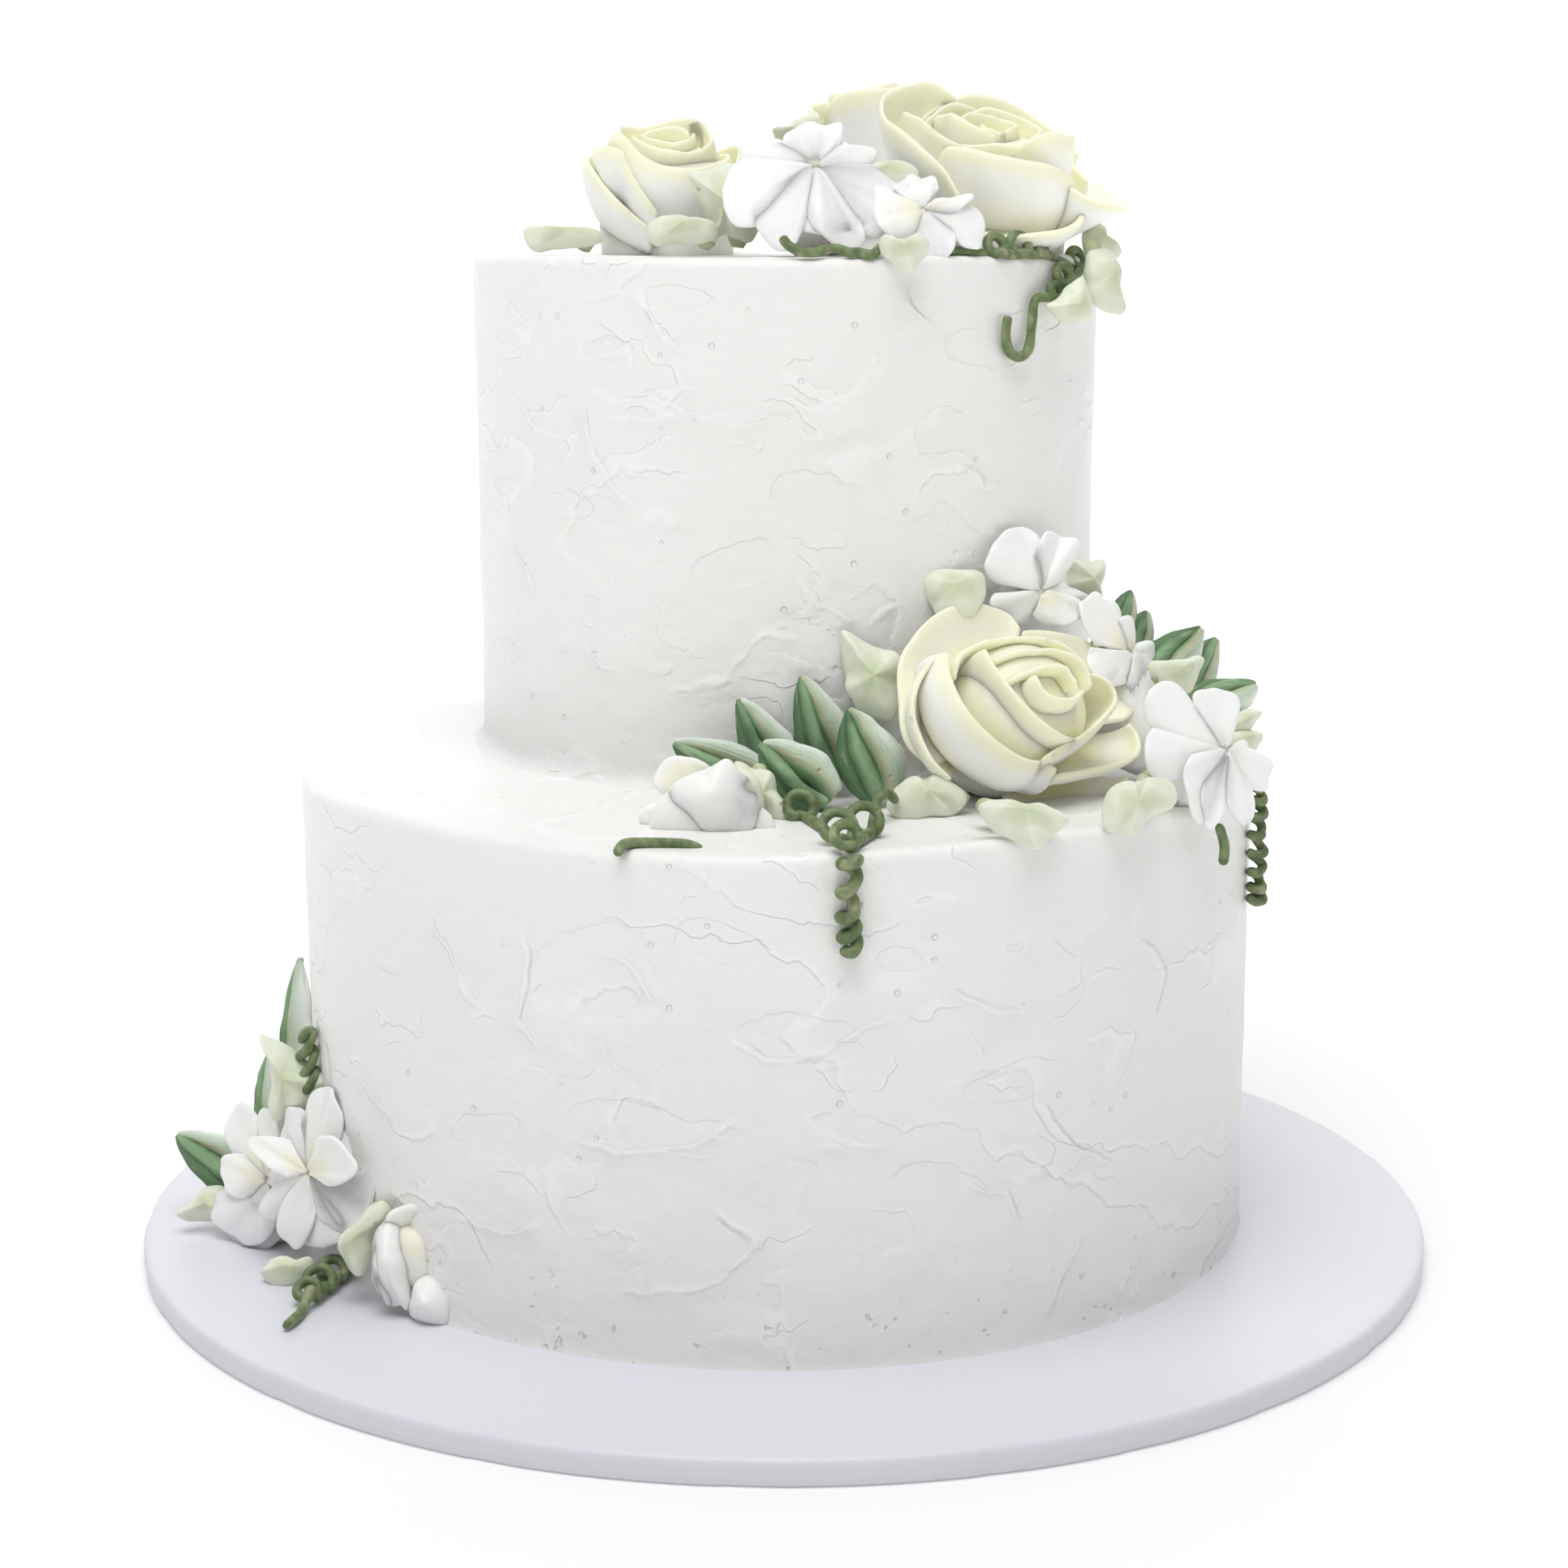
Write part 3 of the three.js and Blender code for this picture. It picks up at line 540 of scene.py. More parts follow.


# %% [markdown]
# ## Petal materials
#
# A rose is cream with a lime tint along each rim. Low on each petal and down inside it is deeper
# and yellower, partly the cream's own colour and partly painted warm shade in the crevices. The
# open blossoms are almost white and only their hearts are cream. Light sinks a few millimetres into
# the icing, so all the petals scatter it under their surface.
#
# The colour runs along the UV from foot to rim, and the mark `inner` tells the two sides of a
# petal apart. A picture painted on each petal would do too, but it would have to be redrawn for
# every change of shape.


# %% Petal materials
def petal_material(name, body, deep, rim, heart, rim_start, scatter):
    """The outer side of a petal is deep, body, then rim. Its inner side is heart, deep, then rim."""
    material, tree, shader = new_material(name, 0.5, subsurface=0.6)
    shader.inputs["Subsurface Scale"].default_value = scatter
    uv, _, along = sheet_coordinates(tree)
    place = object_place(tree)
    patchy = noise_value(tree, place, 120, 2)
    shifted = math_node(tree, "ADD", along, math_node(tree, "MULTIPLY", patchy, 0.12))
    # Deep and heart, yellower and darker low on each petal: partly the cream's colour, partly painted warm shade in the
    # crevices.
    outside = mix_colour(tree, map_range(tree, shifted, 0.75, 0.3), body, deep)
    outside = mix_colour(tree, map_range(tree, shifted, rim_start, 1.06), outside, rim)
    inside = mix_colour(tree, map_range(tree, shifted, 0.25, 0.7), heart, deep)
    inside = mix_colour(tree, map_range(tree, shifted, 0.7, 1.1), inside, rim)
    side = add_node(tree, "ShaderNodeAttribute", attribute_name="inner").outputs["Fac"]
    colour = mix_colour(tree, side, outside, inside)
    grain = use_group(tree, BUTTERCREAM, Place=place)
    # Painted shade in the tiny air holes: they are tinted towards the heart colour.
    shade = math_node(tree, "MULTIPLY", grain.outputs["Holes"], 0.3)
    colour = mix_colour(tree, shade, colour, heart)
    link(tree, colour, shader.inputs["Base Color"])
    streaks = noise_value(tree, stretched(tree, uv, (3, 14, 1)), 1.6, 2)
    drawn = math_node(tree, "MULTIPLY", streaks, 0.3)
    add_bump(tree, shader, math_node(tree, "ADD", drawn, grain.outputs["Height"]), 0.0004)
    return material


ROSE = petal_material(
    "rose cream", body=(0.98, 0.975, 0.95), deep=(0.98, 0.965, 0.81), rim=(0.93, 0.928, 0.66),
    heart=(0.96, 0.91, 0.45), rim_start=0.82, scatter=0.0032,
)
BLOSSOM = petal_material(
    "blossom white", body=(0.94, 0.935, 0.925), deep=(0.93, 0.92, 0.87), rim=(0.94, 0.937, 0.93),
    heart=(0.9, 0.86, 0.68), rim_start=0.9, scatter=0.003,
)
BUD = petal_material(
    "bud cream", body=(0.93, 0.925, 0.885), deep=(0.91, 0.89, 0.74), rim=(0.94, 0.938, 0.9),
    heart=(0.85, 0.82, 0.6), rim_start=0.7, scatter=0.003,
)
print("Petal materials:", ROSE.name, BLOSSOM.name, BUD.name)


# %% [markdown]
# ## Leaf and vine materials
#
# Two icings ran side by side from one nozzle. So a dark leaf has green valleys and ridges, a beige
# line where the icings meet, and one whitish flank. Its valleys are painted darker and its highest
# ridge lighter: painted shade and a painted highlight. Colours that lie across the leaf are a colour
# ramp on its UV. A pale leaf is one soft green, lighter towards its edge, with painted highlight on
# its raised folds and painted shade where its outline is low. The vines are olive with beige
# marbling, which noise gives.


# %% Dark leaf material
def ramp(tree, value, stops):
    node = add_node(tree, "ShaderNodeValToRGB")
    link(tree, value, node.inputs["Fac"])
    stops_in = node.color_ramp.elements
    while len(stops_in) < len(stops):
        stops_in.new(0.5)
    for stop, (position, colour) in zip(stops_in, stops):
        stop.position = position
        stop.color = (*colour, 1)
    return node.outputs["Color"]


def dark_leaf_material():
    """Dark green with painted shade in its valleys and a painted highlight on its ridge; on the right a beige line and
    a whitish flank.
    """
    material, tree, shader = new_material("leaf dark", 0.55, subsurface=0.15)
    uv, across, _ = sheet_coordinates(tree)
    place = object_place(tree)
    mottled = noise_value(tree, place, 190, 3)
    shift = math_node(tree, "MULTIPLY", math_node(tree, "SUBTRACT", mottled, 0.5), 0.1)
    side = math_node(tree, "ADD", across, shift)
    # The darkest stop, at 0.5, lies in the deepest valley of FLUTES and the light stop at 0.37 on its highest ridge:
    # painted shade and a painted highlight. The beige stop and the whitish end are the second icing.
    colour = ramp(tree, side, [
        (0.0, (0.06, 0.13, 0.06)), (0.16, (0.12, 0.23, 0.11)), (0.27, (0.07, 0.14, 0.06)), (0.37, (0.26, 0.41, 0.23)),
        (0.43, (0.18, 0.3, 0.15)), (0.5, (0.035, 0.07, 0.03)), (0.6, (0.17, 0.3, 0.15)), (0.69, (0.48, 0.49, 0.33)),
        (0.75, (0.5, 0.61, 0.48)), (0.92, (0.82, 0.87, 0.82)),
    ])
    swirl = noise_value(tree, stretched(tree, uv, (9, 1.8, 1)), 1.5, 3)
    threads = map_range(tree, swirl, 0.58, 0.7, 0.0, 0.5)
    colour = mix_colour(tree, threads, colour, (0.4, 0.48, 0.32))
    grain = use_group(tree, BUTTERCREAM, Place=place)
    link(tree, colour, shader.inputs["Base Color"])
    ribs = noise_value(tree, stretched(tree, uv, (16, 1.5, 1)), 1.5, 2)
    raised = math_node(tree, "MULTIPLY", ribs, 0.8)
    add_bump(tree, shader, math_node(tree, "ADD", raised, grain.outputs["Height"]), 0.0005)
    return material


# %% Pale leaf material
def pale_leaf_material():
    """Pale green, with painted shade where the outline is low and painted highlight along its raised folds."""
    material, tree, shader = new_material("leaf pale", 0.55, subsurface=0.3)
    _, _, along = sheet_coordinates(tree)
    place = object_place(tree)
    patchy = noise_value(tree, place, 130, 3)
    shade = math_node(tree, "ADD", along, math_node(tree, "MULTIPLY", patchy, 0.35))
    colour = ramp(tree, shade, [
        (0.5, (0.49, 0.55, 0.32)), (0.72, (0.59, 0.645, 0.44)), (0.92, (0.67, 0.715, 0.545)),
        (1.0, (0.75, 0.785, 0.65)),
    ])
    grain = use_group(tree, BUTTERCREAM, Place=place)
    # Painted shade in the tiny air holes: they are darkened towards olive.
    holes = math_node(tree, "MULTIPLY", grain.outputs["Holes"], 0.6)
    colour = mix_colour(tree, holes, colour, (0.4, 0.42, 0.2))
    link(tree, colour, shader.inputs["Base Color"])
    add_bump(tree, shader, grain.outputs["Height"], 0.00035)
    return material


# %% Vine material
def vine_material():
    material, tree, shader = new_material("vine green", 0.5, subsurface=0.1)
    place = object_place(tree)
    marble = noise_value(tree, place, 330, 3, 0.6)
    colour = mix_colour(tree, map_range(tree, marble, 0.35, 0.7), (0.1, 0.15, 0.06), (0.2, 0.26, 0.12))
    streak = noise_value(tree, place, 230, 2)
    colour = mix_colour(tree, map_range(tree, streak, 0.5, 0.75, 0.0, 0.6), colour, (0.46, 0.43, 0.27))
    grain = use_group(tree, BUTTERCREAM, Place=place)
    link(tree, colour, shader.inputs["Base Color"])
    add_bump(tree, shader, grain.outputs["Height"], 0.00025)
    return material


DARK = dark_leaf_material()
PALE = pale_leaf_material()
VINE = vine_material()
print("Leaf and vine materials:", DARK.name, PALE.name, VINE.name)

# %% [markdown]
# ## Iced tiers
#
# A tier is a profile spun round, which is how a cake is iced on a turntable too. Its wall was
# smoothed with a palette knife, which left shallow patches with crisp, ragged edges and a few long
# ridges. These are much thinner than the mesh is fine. So each corner of the mesh only keeps how
# far it lies inside the nearest patch and from the nearest ridge, and the material sharpens that
# into edges. Strokes of chance, cut from a warped noise, cover the rest of the wall.


# %% Knife marks on a wall
NO_PATCH, NO_RIDGE, FAR_AWAY = -1.0, 5.0, 99.0
RIDGE_REACH = 45


def around(angle, middle, per_degree):
    """The distance along the wall from an angle, the short way round."""
    half = 180 * per_degree
    return (angle - middle * per_degree + half) % (2 * half) - half


def in_patch(across, up, half_width, half_height, slant):
    """How far inside a slanted lens a point lies: 1 in its middle, 0 at its edge."""
    turn = math.radians(slant)
    x = (across * math.cos(turn) + up * math.sin(turn)) / half_width
    y = (up * math.cos(turn) - across * math.sin(turn)) / half_height
    return 1 - math.sqrt(x * x + y * y)


def beside_ridge(across, up, points):
    """(distance from a ridge of points, the same signed by its side, how much of it is here)."""
    total = sum(math.dist(a, b) for a, b in zip(points, points[1:]))
    best, away, there, passed = FAR_AWAY, NO_RIDGE, 0.0, 0.0
    for (ax, ay), (bx, by) in zip(points, points[1:]):
        run, rise = bx - ax, by - ay
        length = math.hypot(run, rise)
        t = ((across - ax) * run + (up - ay) * rise) / length
        inside = min(max(t, 0), length)
        gap = math.dist((across, up), (ax + run * inside / length, ay + rise * inside / length))
        if gap < best:
            best = gap
            away = math.copysign(gap, (up - ay) * run - (across - ax) * rise)
            s = passed + inside
            there = smoothstep(0, 5, s) * smoothstep(0, 5, total - s) * smoothstep(6, 1.5, gap)
        passed += length
    return best, away, there


def wall_marks(tier, place, patches, ridges):
    """What a corner of the wall keeps: depth in a patch, distance to a ridge, the ridge's share."""
    per_degree = math.pi * tier["radius"] / 180
    angle = math.degrees(math.atan2(place.y - tier["y"], place.x - tier["x"]))
    warp = noise.noise_vector(place * 0.07) * 2.4 + noise.noise_vector(place * 0.25) * 1.0
    across = angle * per_degree + warp.x
    up = place.z + warp.y
    patch, nearest, second, away, there = NO_PATCH, FAR_AWAY, FAR_AWAY, NO_RIDGE, 0.0
    for middle, level, half_width, half_height, slant in patches:
        gap = around(across, middle, per_degree)
        if abs(gap) > half_width * 1.5 or abs(up - level) > half_width * 1.5:
            continue
        patch = max(patch, in_patch(gap, up - level, half_width, half_height, slant))
    for ridge in ridges:
        start = ridge[0][0]
        gap = around(across, start, per_degree)
        if abs(gap) > RIDGE_REACH:
            continue
        points = [((degrees - start) * per_degree, height) for degrees, height in ridge]
        found = beside_ridge(gap, up, points)
        second = min(second, max(found[0], nearest))
        if found[0] < nearest:
            nearest, away, there = found
    return patch, away, there * smoothstep(0, 3, second - nearest)


# %% A tier
MARKS = ("patch", "away", "there")
FOOT_SUNK = -1
FOOT_HEIGHT = 4
FOOT_SHAPE = ((0.75, 0.1), (0.35, 1.1), (0.1, 2.5), (0, FOOT_HEIGHT))
WALL_LEAN = 0.3
RIM_STEPS = 6
TOP_RINGS = (0.965, 0.95, 0.93, 0.91, 0.89, 0.87, 0.85, 0.82, 0.79, 0.76, 0.72, 0.68, 0.64, 0.6, 0.5, 0.3, 0)


def spun(profile, steps):
    """A mesh of the (reach, height) profile turned once round the Z axis."""
    bm = bmesh.new()
    verts = [bm.verts.new((reach, 0, height)) for reach, height in profile]
    edges = [bm.edges.new(pair) for pair in zip(verts, verts[1:])]
    bmesh.ops.spin(
        bm, geom=verts + edges, cent=(0, 0, 0), axis=(0, 0, 1), angle=2 * math.pi, steps=steps, use_merge=True,
    )
    bmesh.ops.remove_doubles(bm, verts=bm.verts, dist=0.001)
    return bm


def tier_profile(radius, height, rim, foot_flare, rows):
    """(reach, height) from under the tier, out over its soft foot, up its wall and in over its top."""
    profile = [(0, FOOT_SUNK), (radius * 0.5, FOOT_SUNK), (radius + foot_flare + 0.8, FOOT_SUNK)]
    profile += [(radius + foot_flare * share, z) for share, z in FOOT_SHAPE]
    wall = height - rim - FOOT_HEIGHT
    profile += [(radius + WALL_LEAN * i / rows, FOOT_HEIGHT + wall * i / rows) for i in range(1, rows)]
    for i in range(RIM_STEPS + 1):
        turn = math.pi / 2 * i / RIM_STEPS
        profile.append((radius + WALL_LEAN - rim + rim * math.cos(turn), height - rim + rim * math.sin(turn)))
    return profile + [(radius * share, height) for share in TOP_RINGS]


def spun_tier(node, tier, rim, foot_flare, wave, steps, rows, patches, ridges):
    """Spins a tier, lets its wall swell, its foot run ragged and its rim wave, and marks its wall."""
    radius, height = tier["radius"], tier["top"] - tier["foot"]
    bm = spun(tier_profile(radius, height, rim, foot_flare, rows), steps)
    layers = [bm.verts.layers.float.new(mark) for mark in MARKS]
    for vert in bm.verts:
        x, y, z = vert.co
        out = math.hypot(x, y)
        angle = math.atan2(y, x)
        at_rim = smoothstep(radius - 14, radius, out) * smoothstep(height * 0.7, height, z)
        lift = at_rim * wave * math.sin(2 * angle + 0.6) * math.cos(3 * angle)
        place = Vector((x + tier["x"], y + tier["y"], z + tier["foot"]))
        outside = smoothstep(radius * 0.9, radius, out)
        on_wall = smoothstep(0, 2.5, z) * outside
        swell = 0.45 * noise.noise(place * 0.025) + 0.16 * noise.noise(place * 0.09)
        ragged = 0.3 * foot_flare * noise.noise(place * 0.12) * smoothstep(FOOT_HEIGHT, 0.5, z) * outside
        if out > 0.01:
            place += Vector((x / out, y / out, 0)) * (swell * on_wall + ragged)
        on_top = smoothstep(height - 1, height, z)
        place.z += lift + on_top * 0.45 * noise.noise(place * 0.05)
        marks = wall_marks(tier, place, patches, ridges) if on_wall > 0.5 else (NO_PATCH, NO_RIDGE, 0.0)
        for layer, value in zip(layers, marks):
            vert[layer] = value
        vert.co = place
    print(node, "corners:", len(bm.verts))
    finish_piece("iced_" + node, bm, ICING, [node])


# %% [markdown]
# ## Icing
#
# A palette knife leaves overlapping strokes, each a gentle slope that ends in a lip. A noise that
# is bent by another noise and cut into levels looks like that, once broad and once small. The
# marks from the mesh come on top: a patch is sunk, a ridge has a thin crest with an apron below
# it. Crests of the ridges and of the strokes are painted a little lighter, as a painted highlight.
# Near the board the icing has torn pits, which are painted darker and browner.


# %% Knife strokes
def attribute(tree, name):
    return add_node(tree, "ShaderNodeAttribute", attribute_name=name).outputs["Fac"]


def strokes(tree, place, scale, stretch, layers, cover):
    """Overlapping strokes: a noise cut into layers, each a gentle slope that ends in a lip."""
    field = noise_value(tree, stretched(tree, place, stretch), scale, 1.2, 0.45)
    saw = math_node(tree, "FRACT", math_node(tree, "MULTIPLY", field, layers))
    slope = map_range(tree, saw, 0.0, 0.93, smooth=False)
    lip = map_range(tree, saw, 1.0, 0.93)
    stroke = math_node(tree, "MULTIPLY", slope, lip)
    chance = noise_value(tree, place, scale * 1.4, 1)
    here = map_range(tree, chance, cover[0], cover[1])
    crest = math_node(tree, "MULTIPLY", map_range(tree, saw, 0.8, 0.92), lip)
    return math_node(tree, "MULTIPLY", stroke, here), math_node(tree, "MULTIPLY", crest, here)


def knife_group():
    group, inside, outside = new_group(
        "palette knife", [("Place", "NodeSocketVector")],
        [("Height", "NodeSocketFloat"), ("Crest", "NodeSocketFloat")],
    )
    place = inside.outputs["Place"]
    bend = add_node(group, "ShaderNodeTexNoise")
    link(group, place, bend.inputs["Vector"])
    bend.inputs["Scale"].default_value = 75
    bend.inputs["Detail"].default_value = 4
    moved = add_node(group, "ShaderNodeVectorMath", operation="MULTIPLY_ADD")
    link(group, bend.outputs["Color"], moved.inputs[0])
    moved.inputs[1].default_value = (0.016, 0.016, 0.016)
    link(group, place, moved.inputs[2])
    bent = moved.outputs["Vector"]
    broad, broad_crest = strokes(group, bent, 12, (1, 1, 1.8), 7, (0.42, 0.6))
    small, small_crest = strokes(group, bent, 34, (1, 1, 2.2), 5, (0.5, 0.64))
    soft = noise_value(group, stretched(group, place, (1, 1, 1.5)), 45, 3, 0.55)
    dents = noise_value(group, place, 130, 2, 0.5)
    height = math_node(group, "ADD", math_node(group, "MULTIPLY", broad, 0.7), math_node(group, "MULTIPLY", small, 0.5))
    height = math_node(group, "ADD", height, math_node(group, "MULTIPLY", soft, 2.2))
    height = math_node(group, "ADD", height, math_node(group, "MULTIPLY", dents, 0.35))
    link(group, height, outside.inputs["Height"])
    link(group, math_node(group, "MAXIMUM", broad_crest, small_crest), outside.inputs["Crest"])
    return group


# %% Icing material
PATCH_DEPTH, RIDGE_HEIGHT, PIT_DEPTH = 0.35, 0.9, 0.9
# Shares by which the crests are painted lighter (painted highlight) and the pits darker and browner.
CREST_HIGHLIGHT, STROKE_HIGHLIGHT, PIT_DARKENING = 0.4, 0.3, 0.35


def icing_material():
    material, tree, shader = new_material("icing", 0.45, subsurface=0.2)
    place = object_place(tree)
    grain = use_group(tree, BUTTERCREAM, Place=place)
    knife = use_group(tree, knife_group(), Place=place)
    ragged = noise_value(tree, place, 260, 3, 0.6)
    patch = math_node(tree, "ADD", attribute(tree, "patch"), math_node(tree, "MULTIPLY", ragged, 0.16))
    sunk = map_range(tree, patch, 0.06, 0.16)
    below = math_node(tree, "MULTIPLY", attribute(tree, "away"), -1.0)
    below = math_node(tree, "ADD", below, math_node(tree, "MULTIPLY", ragged, 0.9))
    crest = math_node(tree, "MULTIPLY", map_range(tree, below, -0.7, 0.7), map_range(tree, below, 2.1, 0.7))
    apron = math_node(tree, "MULTIPLY", map_range(tree, below, -0.7, 0.7), map_range(tree, below, 7.0, 0.7))
    ridge = math_node(tree, "ADD", math_node(tree, "MULTIPLY", crest, 0.6), math_node(tree, "MULTIPLY", apron, 0.7))
    ridge = math_node(tree, "MULTIPLY", ridge, attribute(tree, "there"))
    height = math_node(tree, "SUBTRACT", knife.outputs["Height"], math_node(tree, "MULTIPLY", sunk, PATCH_DEPTH))
    height = math_node(tree, "ADD", height, math_node(tree, "MULTIPLY", ridge, RIDGE_HEIGHT))
    fine = math_node(tree, "MULTIPLY", grain.outputs["Height"], 0.8)
    height = math_node(tree, "ADD", height, fine)
    broad = noise_value(tree, place, 14, 2)
    colour = mix_colour(tree, map_range(tree, broad, 0.3, 0.7), (0.85, 0.843, 0.828), (0.87, 0.863, 0.85))
    # Painted highlight: the crests of the ridges and of the knife strokes are mixed towards near white.
    painted_highlight = math_node(tree, "MULTIPLY", math_node(tree, "MULTIPLY", crest, attribute(tree, "there")), CREST_HIGHLIGHT)
    painted_highlight = math_node(tree, "MAXIMUM", painted_highlight, math_node(tree, "MULTIPLY", knife.outputs["Crest"], STROKE_HIGHLIGHT))
    colour = mix_colour(tree, painted_highlight, colour, (0.99, 0.985, 0.975))
    low = add_node(tree, "ShaderNodeSeparateXYZ")
    link(tree, place, low.inputs["Vector"])
    near_foot = map_range(tree, low.outputs["Z"], 0.035, 0.01)
    pitted = noise_value(tree, place, 240, 3, 0.65)
    pits = math_node(tree, "MULTIPLY", map_range(tree, pitted, 0.66, 0.7), near_foot)
    height = math_node(tree, "SUBTRACT", height, math_node(tree, "MULTIPLY", pits, PIT_DEPTH))
    # The pits are painted darker and browner.
    colour = mix_colour(tree, math_node(tree, "MULTIPLY", pits, PIT_DARKENING), colour, (0.8, 0.7, 0.5))
    link(tree, colour, shader.inputs["Base Color"])
    add_bump(tree, shader, height, 0.0005)
    return material


ICING = icing_material()
print("Icing nodes:", len(ICING.node_tree.nodes))

# %% Patches and ridges of the two walls
# A patch is (angle in degrees, height, half width, half height, slant). A ridge is a list of
# (angle, height).
LOWER_PATCHES = [
    (-103, 58, 19, 5, -4), (-110, 89, 15, 10, 25), (-96, 98, 9, 4, 0), (-77, 93, 5, 3, 0),
    (-87, 77, 14, 5, -8), (-64, 65, 12, 4, 10), (-123, 51, 10, 5, 15), (-72, 45, 11, 4, -12),
]
LOWER_RIDGES = [
    [(-132, 99), (-129, 91), (-127, 85), (-124, 78)], [(-96, 78), (-91, 73), (-83, 75), (-77, 81)],
    [(-73, 86), (-68, 83), (-62, 78)], [(-108, 22), (-101, 24), (-95, 26), (-92, 34), (-97, 43)],
    [(-59, 10), (-58, 17), (-56, 22), (-54, 29)], [(-61, 61), (-58, 51), (-54, 47), (-49, 42)],
    [(-147, 57), (-139, 49), (-138, 43)], [(-140, 33), (-137, 30), (-134, 28)],
    [(-118, 99), (-117, 89), (-119, 77), (-115, 71)], [(-113, 54), (-107, 52), (-99, 55), (-94, 62)],
    [(-109, 94), (-104, 90), (-103, 82)], [(-47, 92), (-42, 81), (-43, 71)], [(-70, 46), (-65, 41), (-62, 31)],
    [(-86, 57), (-81, 53), (-77, 55)], [(-128, 31), (-121, 30), (-116, 35)],
]
UPPER_PATCHES = [
    (-108, 223, 9, 2.5, -8), (-122, 212, 7, 2.5, 0), (-63, 195, 7, 4.5, 0), (-86, 183, 9, 4, 10),
    (-99, 165, 10, 5, 20), (-131, 177, 7, 4, 0), (-56, 212, 9, 4, -15),
]
UPPER_RIDGES = [
    [(-128, 200), (-124, 189), (-117, 175)], [(-112, 137), (-100, 141), (-94, 151), (-87, 149)],
    [(-88, 164), (-86, 159), (-83, 157), (-77, 152)],
    [(-129, 146), (-124, 143), (-120, 142)], [(-149, 167), (-143, 161), (-140, 153)],
    [(-76, 149), (-74, 155), (-70, 157)],
    [(-116, 226), (-115, 222), (-111, 216), (-106, 211)], [(-70, 227), (-68, 221), (-63, 216)],
    [(-59, 189), (-53, 183), (-46, 181)], [(-145, 202), (-140, 195), (-131, 192)],
]
spun_tier(
    "tier_lower", LOWER, rim=2.2, foot_flare=0.6, wave=1.3, steps=560, rows=84,
    patches=LOWER_PATCHES, ridges=LOWER_RIDGES,
)
spun_tier(
    "tier_upper", UPPER, rim=2.0, foot_flare=3.0, wave=0.5, steps=420, rows=90,
    patches=UPPER_PATCHES, ridges=UPPER_RIDGES,
)

# %% [markdown]
# ## Board
#
# Thick card covered in paper. On the edge the paper is folded in pleats, so the edge steps in a
# little where one fold ends. The board is spun like a tier, and the pleats are small moves of its
# edge at seeded, uneven angles. Folding a cloth round it would give the same few tenths of a
# millimetre with far more work.


# %% Board
PLEAT_GAPS = (9, 22)
PLEAT_TUCK = 0.28
EDGE_WIDTH = 4


def board_material():
    material, tree, shader = new_material("board paper", 0.4)
    place = object_place(tree)
    fibre = noise_value(tree, place, 900, 3)
    cloud = noise_value(tree, place, 12, 2)
    colour = mix_colour(tree, cloud, (0.7, 0.7, 0.765), (0.74, 0.74, 0.8))
    link(tree, colour, shader.inputs["Base Color"])
    add_bump(tree, shader, fibre, 0.00005)
    return material


def covered_board():
    profile = [(0, 0), (BOARD_RADIUS - 1.4, 0), (BOARD_RADIUS - 0.5, 0.3), (BOARD_RADIUS, 1.2)]
    profile += [(BOARD_RADIUS, 2.4), (BOARD_RADIUS, 3.6), (BOARD_RADIUS, 4.8)]
    profile += [(BOARD_RADIUS - 0.35, 5.6), (BOARD_RADIUS - 1.2, 6), (BOARD_RADIUS - 2.5, 6), (BOARD_RADIUS - 6, 6)]
    profile += [(110, 6), (0, 6)]
    bm = spun(profile, 900)
    chance = random.Random(4)
    pleats = []
    angle = 0
    while angle < 360:
        pleats.append(angle)
        angle += chance.uniform(*PLEAT_GAPS)
    for vert in bm.verts:
        x, y, z = vert.co
        out = math.hypot(x, y)
        if out < BOARD_RADIUS - EDGE_WIDTH or z < 0.2:
            continue
        turn = math.degrees(math.atan2(y, x)) % 360
        start = max(pleat for pleat in pleats if pleat <= turn)
        past = (turn - start) * math.pi * BOARD_RADIUS / 180
        tuck = -PLEAT_TUCK * smoothstep(0, 0.8, past) * smoothstep(14, 1, past)
        edge = smoothstep(BOARD_RADIUS - EDGE_WIDTH, BOARD_RADIUS - 0.5, out)
        wavy = 0.25 * noise.noise(Vector((x, y, 0)) * 0.02)
        vert.co.x += x / out * (tuck - 0.1) * edge
        vert.co.y += y / out * (tuck - 0.1) * edge
        vert.co.z += wavy * edge if z > 5.9 else 0
    print("Board pleats:", len(pleats))
    finish_piece("covered_board", bm, board_material(), ["board"])


covered_board()

# %% [markdown]
# ## Roses
#
# A rose is piped on a flower nail: a heart of icing first, then petal after petal round it while
# the nail turns. Here each rose is a list of petals, (belly, rim), from the outside in. The rims
# were drawn one by one, so that the swirl of each rose is its own. A rule could place them, and
# the rose at the back, of which little shows, is made by one.

